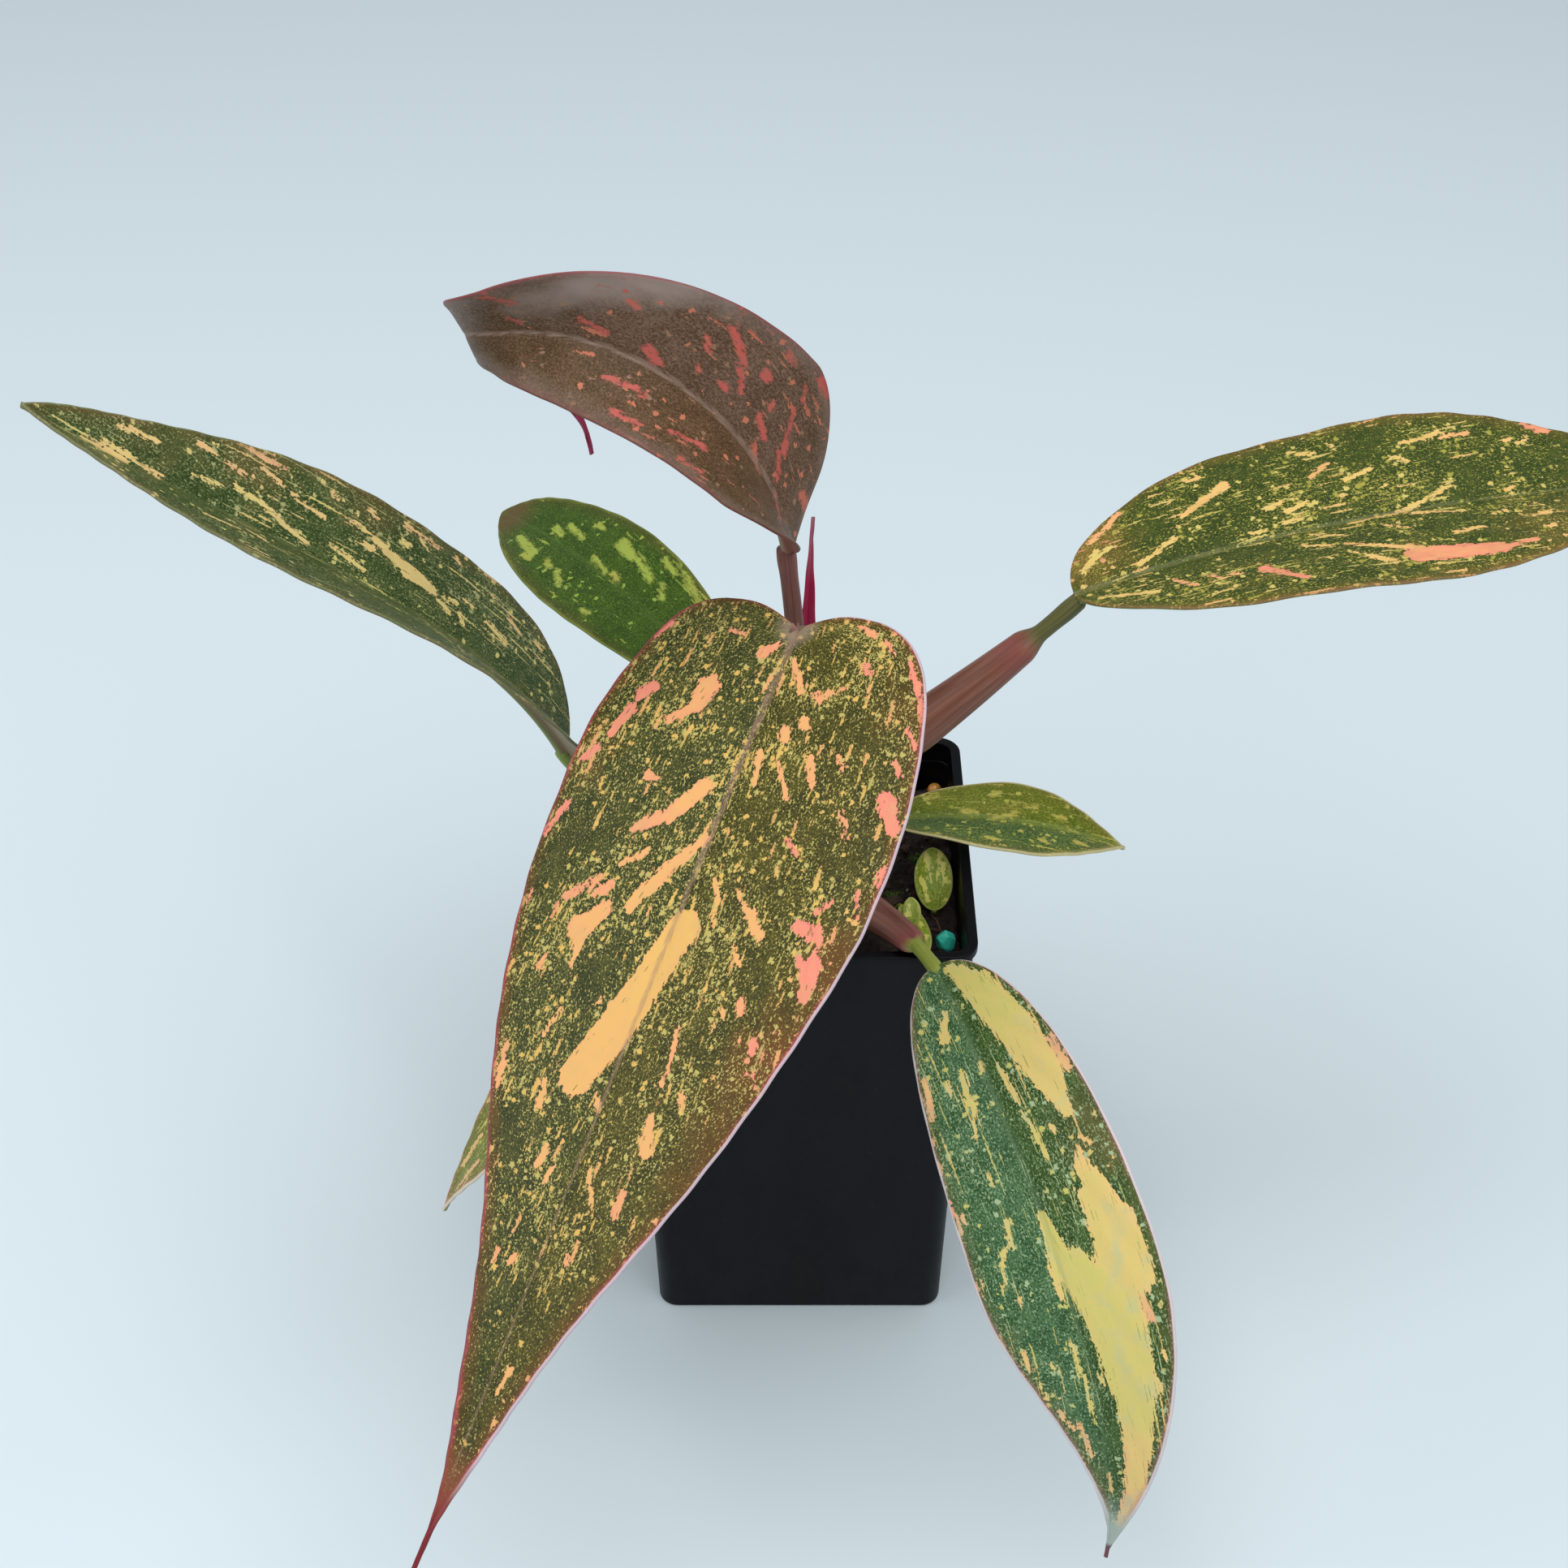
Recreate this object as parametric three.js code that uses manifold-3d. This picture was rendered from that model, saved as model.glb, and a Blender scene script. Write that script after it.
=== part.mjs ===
// Potted philodendron with marbled leaves in a deep square nursery pot.
// Millimetres, +Z up. The origin is the centre of the pot's underside, and -Y is the side that the
// long front leaf hangs over.
import * as THREE from "three";
import { mergeVertices } from "three/addons/utils/BufferGeometryUtils.js";
import Module from "manifold-3d";

const wasm = await Module();
wasm.setup();

// Driving dimensions of the pot
const POT_HEIGHT = 107;
const POT_TOP_HALF = 33;
const POT_FOOT_HALF = 30.3;
const POT_CORNER = 4;
const WALL = 1.3;
const FLOOR = 1.6;
const LIP_HEIGHT = 1.8;
const LIP_STEP = 0.7;
const EDGE_ROUND = 0.3;
const FOOT_ROUND = 0.8;
const HOLE_RADIUS = 4;
const HOLE_PLACE = 18;

// Driving dimensions of the soil and the stem
const SOIL_LEVEL = 95;
const SOIL_LUMP = 0.9;
const STEM_FOOT = 66;
const STEM_TOP = 134;
const STEM_RADIUS = 4.3;
const STEM_TAPER = 0.9;
const SCAR_SPACING = 7;
const SCAR_RAISE = 0.25;
const GAP = 0.3;

// Driving dimensions shared by the leaves
const BLADE = 0.8;
const THIN_BLADE = 0.6;
const VEIN_SWEEP = 1.3;
const EVEN_OUT = 0.6;
const MARGIN_END = 0.4;
const LOBE_SHARE = 0.07;
const PETIOLE_SIDES = 8;
const SHEATH_DEPTH = 0.8;
const SHEATH_GROOVE = 0.25;
const SHEATH_FADE = 0.08;

// Each leaf: base is where stalk and blade meet. Along the midrib, from base to tip, heading, rise
// and roll are angles in degrees (start, change over the length, bend). Heading 0 is +X and 90 is
// +Y. left and right are half-widths seen from the base with the upper face up. widest is the place
// of the widest point as a share of the length. shoulder shapes the outline behind it, and taper
// ahead of it, with a third number where the right side tapers otherwise. fold lifts both halves
// from the midrib, and curl turns them down again, in degrees for each millimetre of width. crease
// bends the blade back over a round fold: its place on the midrib, skew, radius, turn, and the share
// of the lift that the fold flattens. stalk lists the petiole's route from the stem, sheath its
// half-width at the stem, in the middle and near its end, and the share of the stalk it covers.
const LEAVES = [
  {
    name: "leaf_front",
    base: [-0.7, -13.2, 167.8],
    length: 171.2,
    heading: [-114.4, -5.6, -1.6],
    rise: [-27.1, -26.8, 11.1],
    roll: [11.3, 2.4],
    left: 34.2,
    right: 34.9,
    widest: 0.289,
    shoulder: 2.67,
    taper: [1.52, 1.57, 1.84],
    lobe: 0.02,
    lobePlace: 0.32,
    fold: 7.6,
    curl: 0.55,
    wave: [0.7, 4.5],
    stalk: [[0, -2, 117], [0.6, -5, 131], [0.5, -8, 148], [-0.2, -11, 161]],
    radius: [1.9, 1.5],
    sheath: [3.2, 2.8, 2.2, 0.45],
    colour: 0x46502c,
  },
  {
    name: "leaf_crown",
    base: [-2, 0.4, 175],
    length: 126.1,
    heading: [184.8, -38.6, 16.6],
    rise: [79.7, -105.5, -102],
    roll: [-3.5, -144.3],
    crease: [0.548, 13.2, 13.5, 171.4, 0.94],
    left: 17.7,
    right: 19.8,
    widest: 0.19,
    shoulder: 1.45,
    taper: [1.2, 1.32],
    lobe: 0,
    fold: 21.1,
    curl: -0.441,
    wave: [1.9, 2.6],
    stalk: [[-0.4, 0.4, 134.6], [-0.8, 0.5, 146], [-1.5, 0.5, 160]],
    radius: [1.9, 1.6],
    sheath: [2.1, 1.9, 1.7, 0.3],
    colour: 0x6a4c40,
  },
  {
    name: "leaf_left",
    base: [-45.4, 4.7, 126],
    length: 125.6,
    heading: [203.2, -2.8, -4.2],
    rise: [68.5, -77.7, 55.8],
    roll: [-9.4, -6.5],
    left: 20.7,
    right: 18.2,
    widest: 0.27,
    shoulder: 2.04,
    taper: [2.25, 0.82],
    lobe: 0,
    fold: 26.3,
    curl: 0.26,
    wave: [0.6, 2.5],
    stalk: [[-2, 0, 108], [-14, 2, 110.5], [-28, 4.4, 112], [-39, 5.2, 116]],
    radius: [1.9, 1.5],
    sheath: [3.6, 3, 2.2, 0.5],
    colour: 0x45602c,
  },
  {
    name: "leaf_back",
    base: [-17.6, 32.3, 121.8],
    length: 89.5,
    heading: [126.4, -2.7, -0.9],
    rise: [12, -35.8, 6],
    roll: [-4.3, -24.4],
    left: 13.7,
    right: 14.2,
    widest: 0.44,
    shoulder: 2.13,
    taper: [2.13, 0.73],
    lobe: 0,
    fold: 5.9,
    curl: 0.42,
    wave: [0.4, 3],
    stalk: [[-1, 2, 106], [-6, 12, 112], [-12, 23, 118]],
    radius: [1.7, 1.3],
    sheath: [3.2, 2.6, 2, 0.5],
    colour: 0x3f6420,
  },
  {
    name: "leaf_right",
    base: [49.2, 0.4, 165.2],
    length: 120,
    heading: [14.7, -4.8, 0],
    rise: [12.9, -21.7, 6],
    roll: [-2, 10.7],
    left: 24.9,
    right: 24.1,
    widest: 0.48,
    shoulder: 2.07,
    taper: [2.03, 0.91],
    lobe: 0,
    fold: 14,
    curl: 0.45,
    wave: [0.6, 3.5],
    stalk: [[2, 0, 112], [12, 0, 126], [23.4, 0, 137], [33.5, 0, 147], [42.8, 0.2, 156.5]],
    radius: [2, 1.6],
    sheath: [5, 5.4, 3.6, 0.74],
    colour: 0x4c6428,
  },
  {
    name: "leaf_small_right",
    base: [16.7, 1.7, 111],
    length: 49,
    heading: [0.8, -1.4, 1.3],
    rise: [8.2, -35.8, 1.4],
    roll: [-0.7, 12.7],
    left: 9.2,
    right: 9.6,
    widest: 0.53,
    shoulder: 1.85,
    taper: [1.95, 1.14],
    lobe: 0,
    fold: 7.8,
    curl: 0.28,
    wave: [0.3, 2],
    stalk: [[2, 1.6, 101], [6.5, 2.2, 103.5], [11.5, 2, 107.6]],
    radius: [1.2, 0.9],
    sheath: [2, 1.7, 1.2, 0.5],
    colour: 0x55702a,
  },
  {
    name: "leaf_lower_right",
    base: [24.4, -39, 110.6],
    length: 122.8,
    heading: [-70, 11.7, 0.7],
    rise: [-8.8, -66.6, -17.4],
    roll: [24.1, 30.7],
    left: 18,
    right: 15.6,
    widest: 0.493,
    shoulder: 2.17,
    taper: [1.95, 1.58, 2.7],
    lobe: 0,
    fold: 6,
    curl: 0.34,
    wave: [0.4, 3],
    stalk: [[1.4, -1.6, 101.4], [8, -12, 104], [14.5, -21.5, 106.8], [19.6, -29.5, 108.9], [22, -34.2, 110]],
    radius: [1.6, 1.3],
    sheath: [3.6, 3.8, 2.6, 0.66],
    colour: 0x8f9450,
  },
  {
    name: "leaf_lower_left",
    base: [-20, -37.6, 114.4],
    length: 77.6,
    heading: [-160, -7.1, -2.3],
    rise: [-27.7, -46.3, 8.8],
    roll: [2.2, -0.8],
    left: 12.4,
    right: 11.2,
    widest: 0.4,
    shoulder: 2.2,
    taper: [1.8, 1.08],
    lobe: 0,
    fold: 6,
    curl: 0.33,
    wave: [0.3, 2.5],
    stalk: [[-1.4, -1.6, 100.6], [-7, -12, 104.5], [-12.5, -22.5, 110], [-16.6, -31.5, 113.8]],
    radius: [1.4, 1.1],
    sheath: [2.8, 2.4, 1.8, 0.5],
    colour: 0x66702c,
  },
];

// The bract that wrapped the crown leaf in bud, and three young leaves of an offset in the pot's
// right front corner, in the same terms as the leaves
const BRACT = {
  name: "crown_bract",
  base: [0.6, 4.4, 134.8],
  length: 42,
  heading: [75, 0, 0],
  rise: [92, -18, 0],
  roll: [25, 30],
  left: 2.4,
  right: 2.4,
  widest: 0.15,
  shoulder: 2,
  taper: [1.4, 1],
  lobe: 0,
  fold: 30,
  curl: -3,
  wave: [0.1, 1],
  radius: [0.4, 0.3],
  colour: 0xa02050,
};
const OFFSETS = [
  {
    name: "offset_leaf_round",
    base: [26.2, -9.4, 97.2],
    length: 12.5,
    heading: [92, 0, 0],
    rise: [58, -30, 0],
    roll: [0, 0],
    left: 3.9,
    right: 3.9,
    widest: 0.5,
    shoulder: 2,
    taper: [2.1, 0.6],
    lobe: 0,
    fold: 8,
    curl: 9,
    wave: [0.1, 1],
    stalk: [[26.4, -6.2, 90], [26.3, -7.6, 94.4]],
    radius: [0.7, 0.5],
    sheath: [0.8, 0.8, 0.7, 0.5],
    colour: 0x8c9a2c,
  },
  {
    name: "offset_leaf_small",
    base: [21.4, -18.4, 101.4],
    length: 5.6,
    heading: [95, 0, 0],
    rise: [52, -20, 0],
    roll: [0, 0],
    left: 1.8,
    right: 1.8,
    widest: 0.5,
    shoulder: 2,
    taper: [2.1, 0.6],
    lobe: 0,
    fold: 6,
    curl: 12,
    wave: [0.05, 1],
    stalk: [[17.8, -13.6, 90], [17.8, -14.2, 94.6], [18.2, -15.8, 98.8], [19.8, -17.9, 101]],
    radius: [0.6, 0.45],
    sheath: [0.6, 0.6, 0.5, 0.5],
    colour: 0x7c9230,
  },
  {
    name: "offset_leaf_front",
    base: [20, -9.6, 98.6],
    length: 14,
    heading: [-73, 2, 0],
    rise: [14, -34, 0],
    roll: [-12, 0],
    left: 2.7,
    right: 2.7,
    widest: 0.55,
    shoulder: 2,
    taper: [2, 0.8],
    lobe: 0,
    fold: 10,
    curl: 5,
    wave: [0.1, 1],
    stalk: [[18.6, -6.4, 90], [18.9, -7.2, 94.5], [19.4, -8.4, 97.4]],
    radius: [0.7, 0.5],
    sheath: [0.8, 0.8, 0.7, 0.5],
    colour: 0x4c6a24,
  },
];

// Feed grains that lie on the soil: a broken blue-green crystal and a round coated bead
const CRYSTAL = { place: [28, -18.4, 97.3], half: [2.1, 2, 2.6], lean: 18 };
const BEAD = { place: [28.2, 28.4, 96.5], radius: 1.5 };

const radians = (degrees) => (degrees * Math.PI) / 180;
const clamp01 = (value) => Math.min(1, Math.max(0, value));
const along = (three, t) => three[0] + three[1] * t + (three[2] ?? 0) * t * t;
const smooth = (t) => t * t * (3 - 2 * t);

// A closed solid skinned over rings of equal point count, with fans over both ends
function skin(rings) {
  const size = rings[0].length;
  const points = rings.flat();
  const faces = [];
  for (let i = 0; i + 1 < rings.length; i++) {
    for (let j = 0; j < size; j++) {
      const k = (j + 1) % size;
      const a = i * size + j;
      const b = i * size + k;
      faces.push(a, b, b + size, a, b + size, a + size);
    }
  }
  const sumOf = (ring) => ring.reduce((sum, p) => sum.add(p), new THREE.Vector3());
  const centre = (ring) => sumOf(ring).divideScalar(size);
  const last = (rings.length - 1) * size;
  points.push(centre(rings[0]), centre(rings.at(-1)));
  for (let j = 0; j < size; j++) {
    const k = (j + 1) % size;
    faces.push(points.length - 2, k, j, points.length - 1, last + j, last + k);
  }
  return geometryFrom(points, faces);
}

function geometryFrom(points, faces) {
  const geometry = new THREE.BufferGeometry();
  const flat = points.flatMap((p) => [p.x, p.y, p.z]);
  geometry.setAttribute("position", new THREE.Float32BufferAttribute(flat, 3));
  geometry.setIndex(faces);
  return geometry;
}

// Solid joins and cuts
function solidFrom(geometry) {
  const bare = geometry.clone();
  bare.deleteAttribute("normal");
  bare.deleteAttribute("uv");
  const merged = mergeVertices(bare, 1e-5);
  return new wasm.Manifold(
    new wasm.Mesh({
      numProp: 3,
      vertProperties: new Float32Array(merged.attributes.position.array),
      triVerts: new Uint32Array(merged.index.array),
    }),
  );
}

function geometryOf(solid) {
  const mesh = solid.getMesh();
  const geometry = new THREE.BufferGeometry();
  geometry.setAttribute("position", new THREE.Float32BufferAttribute(mesh.vertProperties, 3));
  geometry.setIndex(new THREE.Uint32BufferAttribute(mesh.triVerts, 1));
  return geometry;
}

// A square ring with rounded corners
function squareRing(half, corner, z, steps = 4) {
  const ring = [];
  const reach = half - corner;
  for (let quarter = 0; quarter < 4; quarter++) {
    const turn = (quarter * Math.PI) / 2;
    const middle = new THREE.Vector2(reach, reach).rotateAround(new THREE.Vector2(), turn);
    for (let i = 0; i <= steps; i++) {
      const angle = turn + ((i / steps) * Math.PI) / 2;
      const x = middle.x + corner * Math.cos(angle);
      const y = middle.y + corner * Math.sin(angle);
      ring.push(new THREE.Vector3(x, y, z));
    }
  }
  return ring;
}

const { lerp } = THREE.MathUtils;
const outerHalf = (z) => lerp(POT_FOOT_HALF, POT_TOP_HALF - LIP_STEP, z / POT_HEIGHT);

// Pot: one moulded shell, drawn up from the foot, over the lip and down inside to the floor
function pot() {
  const lipFoot = POT_HEIGHT - LIP_HEIGHT;
  const lipCorner = POT_CORNER + LIP_STEP;
  const inner = (z) => squareRing(outerHalf(z) - WALL, POT_CORNER - WALL, z);
  const rings = [
    squareRing(POT_FOOT_HALF - FOOT_ROUND, POT_CORNER - FOOT_ROUND, 0),
    squareRing(POT_FOOT_HALF, POT_CORNER, FOOT_ROUND),
    squareRing(outerHalf(lipFoot), POT_CORNER, lipFoot),
    squareRing(POT_TOP_HALF, lipCorner, lipFoot + EDGE_ROUND),
    squareRing(POT_TOP_HALF, lipCorner, POT_HEIGHT - EDGE_ROUND),
    squareRing(POT_TOP_HALF - EDGE_ROUND, lipCorner, POT_HEIGHT),
    inner(POT_HEIGHT),
    inner(FLOOR),
  ];
  let shell = solidFrom(skin(rings));
  for (const [sx, sy] of [[1, 1], [1, -1], [-1, 1], [-1, -1]]) {
    const hole = new THREE.CylinderGeometry(HOLE_RADIUS, HOLE_RADIUS, 4 * FLOOR, 16);
    hole.rotateX(Math.PI / 2);
    hole.translate(sx * HOLE_PLACE, sy * HOLE_PLACE, 0);
    shell = shell.subtract(solidFrom(hole));
  }
  return geometryOf(shell);
}

const lump = (x, y) =>
  SOIL_LUMP * (Math.sin(0.55 * x + 1.3) * Math.cos(0.48 * y) + 0.6 * Math.sin(0.31 * x - 0.9 * y));

// Soil: fills the pot to a little below the lip, with an uneven top, a plain hole for each stem and
// a dent under each grain that lies on it
const SOIL_RINGS = [0.9, 0.72, 0.54, 0.36, 0.18];
const SOIL_CORNER_STEPS = 6;

function soil(cutters) {
  const half = (z) => outerHalf(z) - WALL - GAP;
  const foot = FLOOR + GAP;
  const rings = [
    squareRing(half(foot) - WALL, POT_CORNER - WALL, foot, SOIL_CORNER_STEPS),
    squareRing(half(foot), POT_CORNER - WALL, foot + WALL, SOIL_CORNER_STEPS),
    squareRing(half(SOIL_LEVEL), POT_CORNER - WALL, SOIL_LEVEL, SOIL_CORNER_STEPS),
  ];
  for (const share of SOIL_RINGS) {
    const wide = half(SOIL_LEVEL) * share;
    const corner = Math.min(0.8 * wide, POT_CORNER + 8 * (1 - share));
    const ring = squareRing(wide, corner, 0, SOIL_CORNER_STEPS);
    ring.forEach((p) => (p.z = SOIL_LEVEL + lump(p.x, p.y)));
    rings.push(ring);
  }
  const body = solidFrom(skin(rings));
  return geometryOf(cutters.reduce((rest, cutter) => rest.subtract(solidFrom(cutter)), body));
}

// A round-section solid along a path. sectionAt gives half-width, half-height and groove depth at a
// share of the way, and the groove runs along the top.
const UPRIGHT = 0.98;
const GROOVE_FROM = 0.6;

function tube(path, steps, sides, sectionAt) {
  const rings = [];
  let side = null;
  for (let i = 0; i <= steps; i++) {
    const t = i / steps;
    const centre = path.getPoint(t);
    const ahead = path.getTangent(t);
    const upright = Math.abs(ahead.z) > UPRIGHT;
    side ??= new THREE.Vector3(0, upright ? 1 : 0, upright ? 0 : 1).cross(ahead).normalize();
    side.addScaledVector(ahead, -side.dot(ahead)).normalize();
    const up = ahead.clone().cross(side);
    const section = sectionAt(t);
    const ring = [];
    for (let j = 0; j < sides; j++) {
      const angle = (2 * Math.PI * j) / sides;
      const high = Math.sin(angle) > GROOVE_FROM ? section.high * (1 - section.groove) : section.high;
      const point = centre.clone().addScaledVector(side, section.wide * Math.cos(angle));
      ring.push(point.addScaledVector(up, high * Math.sin(angle)));
    }
    rings.push(ring);
  }
  return skin(rings);
}

function pathOf(points) {
  const corners = points.map((p) => new THREE.Vector3(...p));
  return new THREE.CatmullRomCurve3(corners, false, "centripetal");
}

// Stem: short and upright, ringed by the scars of old leaves, and swollen by extra as a cutter
const STEM_SIDES = 12;
const STEM_PATH = pathOf([[0.4, 0.6, STEM_FOOT], [0.2, 0.4, 90], [0, 0, 112], [-0.4, 0.3, STEM_TOP]]);

function stem(extra = 0) {
  return tube(STEM_PATH, 20, STEM_SIDES, (t) => {
    const z = STEM_PATH.getPoint(t).z;
    const scar = SCAR_RAISE * Math.max(0, Math.cos((2 * Math.PI * z) / SCAR_SPACING));
    const share = clamp01((z - STEM_FOOT) / (STEM_TOP - STEM_FOOT));
    const half = STEM_RADIUS - STEM_TAPER * share + scar + extra;
    return { wide: half, high: half, groove: 0 };
  });
}

// The stem's plain hole in the soil
function stemHole() {
  const path = pathOf([[0.4, 0.6, STEM_FOOT - GAP], [0.4, 0.6, SOIL_LEVEL + STEM_RADIUS]]);
  const half = STEM_RADIUS + 2 * GAP;
  return tube(path, 1, STEM_SIDES, () => ({ wide: half, high: half, groove: 0 }));
}

// The midrib's angles at a share t of the length
function anglesAt(leaf, t) {
  return [leaf.heading, leaf.rise, leaf.roll].map((three) => radians(along(three, t)));
}

const RIB_STEPS = 60;

function directionAt(leaf, t) {
  const [heading, rise] = anglesAt(leaf, t);
  return new THREE.Vector3(
    Math.cos(rise) * Math.cos(heading),
    Math.cos(rise) * Math.sin(heading),
    Math.sin(rise),
  );
}

function midribOf(leaf) {
  const points = [new THREE.Vector3(...leaf.base)];
  for (let i = 0; i < RIB_STEPS; i++) {
    const step = directionAt(leaf, (i + 0.5) / RIB_STEPS).multiplyScalar(leaf.length / RIB_STEPS);
    points.push(points.at(-1).clone().add(step));
  }
  return points;
}

// Place and frame of the midrib at a share t, with t below 0 straight behind the base
function frameAt(leaf, rib, t) {
  const inside = clamp01(t);
  const step = Math.min(RIB_STEPS - 1, Math.floor(inside * RIB_STEPS));
  const place = rib[step].clone().lerp(rib[step + 1], inside * RIB_STEPS - step);
  const ahead = directionAt(leaf, inside);
  place.addScaledVector(ahead, Math.min(t, 0) * leaf.length);
  const [heading, , roll] = anglesAt(leaf, inside);
  const level = new THREE.Vector3(-Math.sin(heading), Math.cos(heading), 0);
  const over = ahead.clone().cross(level);
  const side = level.clone().multiplyScalar(Math.cos(roll)).addScaledVector(over, Math.sin(roll));
  const up = over.clone().multiplyScalar(Math.cos(roll)).addScaledVector(level, -Math.sin(roll));
  return { place, side, up };
}

// Half-width of the blade at a share x of its length
function halfWidth(leaf, x, side) {
  const wide = side > 0 ? leaf.left : leaf.right;
  const lobe = leaf.lobe;
  const rear = lobe > 0 ? leaf.lobePlace * wide : 0;
  if (x < leaf.widest) {
    const back = clamp01((leaf.widest - x) / (leaf.widest + lobe));
    return rear + (wide - rear) * (1 - back ** leaf.shoulder) ** (1 / leaf.shoulder);
  }
  const front = clamp01((x - leaf.widest) / (1 - leaf.widest));
  const [rounding, left, right] = leaf.taper;
  return wide * (1 - front ** rounding) ** (side > 0 ? left : (right ?? left));
}

// A share of the way, with closer steps at both ends
const eased = (s) => s - (EVEN_OUT * Math.sin(2 * Math.PI * s)) / (2 * Math.PI);

// Point of the outline at a share s of the way from notch to tip, as length share and half-width
function outlineAt(leaf, s, side) {
  if (leaf.lobe > 0 && s < LOBE_SHARE) {
    const q = s / LOBE_SHARE;
    const rear = leaf.lobePlace * (side > 0 ? leaf.left : leaf.right);
    return [-leaf.lobe * Math.sin((q * Math.PI) / 2), lerp(MARGIN_END, rear, q)];
  }
  const start = leaf.lobe > 0 ? LOBE_SHARE : 0;
  const x = lerp(-leaf.lobe, 1, eased((s - start) / (1 - start)));
  return [x, Math.max(MARGIN_END, halfWidth(leaf, x, side))];
}

// Half-width of the raised midrib under the blade
const RIDGE_TIP = 0.3;
const ridgeHalf = (leaf, s) => lerp(leaf.radius[1], RIDGE_TIP, s ** 0.7);

// Point of the blade's middle layer, s along from notch to tip, side 1 or -1, share across 0 to 1
function bladePoint(leaf, rib, s, side, share) {
  const [edgeX, wide] = outlineAt(leaf, s, side);
  const ribX = eased(s) ** VEIN_SWEEP;
  const x = lerp(ribX, edgeX, share ** VEIN_SWEEP);
  const { place, side: aside, up } = frameAt(leaf, rib, x);
  const fold = radians(leaf.fold);
  const curl = radians(leaf.curl);
  const slope = fold - curl * wide * share;
  const out = (Math.sin(fold) - Math.sin(slope)) / curl;
  const [height, waves] = leaf.wave;
  const wave = height * share * share * Math.sin(Math.PI * s) * Math.sin(2 * Math.PI * waves * s + side);
  const high = (Math.cos(slope) - Math.cos(fold)) / curl + wave;
  const point = place.addScaledVector(aside, side * out).addScaledVector(up, high);
  const lean = share > 0 ? slope : 0;
  const normal = up.clone().multiplyScalar(Math.cos(lean)).addScaledVector(aside, -side * Math.sin(lean));
  return leaf.crease ? creased(leaf, rib, point, normal) : { point, normal };
}

// A point of the blade and its normal, carried round the fold where they lie beyond it
function creased(leaf, rib, point, normal) {
  const [at, skew, radius, turn, flatten] = leaf.crease;
  const { place, side, up } = frameAt(leaf, rib, at);
  const beyond = side.clone().cross(up).multiplyScalar(Math.cos(radians(skew)));
  beyond.addScaledVector(side, Math.sin(radians(skew)));
  const offset = point.clone().sub(place);
  const distance = offset.dot(beyond);
  if (distance <= 0) return { point, normal };
  const height = offset.dot(up);
  const angle = Math.min(distance / radius, radians(turn));
  const rest = Math.max(0, distance - radius * radians(turn));
  const [sin, cos] = [Math.sin(angle), Math.cos(angle)];
  const lift = height * (1 - flatten * sin);
  const reach = (radius + lift) * sin + rest * cos;
  const drop = radius - (radius + lift) * cos + rest * sin;
  const hinge = beyond.clone().cross(up);
  normal.addScaledVector(hinge, -flatten * sin * normal.dot(hinge)).normalize();
  const tilt = [normal.dot(beyond), normal.dot(up)];
  point.addScaledVector(beyond, reach - distance).addScaledVector(up, -drop - height);
  normal.addScaledVector(beyond, tilt[0] * cos + tilt[1] * sin - tilt[0]);
  normal.addScaledVector(up, tilt[1] * cos - tilt[0] * sin - tilt[1]);
  return { point, normal };
}

// Blade: two like faces, half the thickness above and below the middle layer, closed at the margin.
// The column at the midrib hangs lower on the under face, which makes the raised midrib.
function blade(leaf, rib, rows, shares, thick) {
  const columns = shares.length + 1;
  const width = 2 * columns + 1;
  const points = [];
  for (const face of [1, -1]) {
    for (let i = 0; i <= rows; i++) {
      const s = i / rows;
      const ridge = ridgeHalf(leaf, s);
      for (let j = -columns; j <= columns; j++) {
        const side = j < 0 ? -1 : 1;
        const nearRib = Math.min(0.5 * shares[0], ridge / outlineAt(leaf, s, side)[1]);
        const share = [0, nearRib, ...shares][Math.abs(j)];
        const { point, normal } = bladePoint(leaf, rib, s, side, share);
        const depth = face < 0 && j === 0 ? thick / 2 + ridge : thick / 2;
        points.push(point.addScaledVector(normal, face * depth));
      }
    }
  }
  const under = (rows + 1) * width;
  const faces = [];
  const quad = (a, b, c, d) => faces.push(a, b, c, a, c, d);
  for (let i = 0; i < rows; i++) {
    for (let j = 0; j < width - 1; j++) {
      const a = i * width + j;
      const [b, c, d] = [a + width, a + width + 1, a + 1];
      quad(a, b, c, d);
      faces.push(under + a, under + c, under + b, under + a, under + d, under + c);
    }
    const near = i * width;
    const far = near + width - 1;
    quad(near, under + near, under + near + width, near + width);
    quad(far, far + width, under + far + width, under + far);
  }
  for (let j = 0; j < width - 1; j++) {
    const end = rows * width + j;
    quad(j, j + 1, under + j + 1, under + j);
    quad(end, under + end, under + end + 1, end + 1);
  }
  return geometryFrom(points, faces);
}

// Stalk: a petiole whose lower part is a grooved sheath that held the next leaf. It ends just past
// the blade's base, sunk by half its radius, and is swollen by extra as a cutter.
const STALK_END = 0.012;

function stalk(leaf, rib, extra = 0) {
  const base = frameAt(leaf, rib, STALK_END);
  base.place.addScaledVector(base.up, -0.5 * leaf.radius[1]);
  const path = pathOf([...leaf.stalk, base.place.toArray()]);
  const [foot, middle, end, share] = leaf.sheath;
  return tube(path, 14, PETIOLE_SIDES, (t) => {
    const round = lerp(leaf.radius[0], leaf.radius[1], t);
    const part = 2 * clamp01(t / share);
    const wing = part < 1 ? lerp(foot, middle, part) : lerp(middle, end, part - 1);
    const fade = smooth(clamp01((t - share) / SHEATH_FADE));
    const wide = lerp(Math.max(wing, round), round, fade);
    const high = lerp(SHEATH_DEPTH * wide, round, fade);
    return { wide: wide + extra, high: high + extra, groove: SHEATH_GROOVE * (1 - fade) };
  });
}

const part = new THREE.Group();

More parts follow.
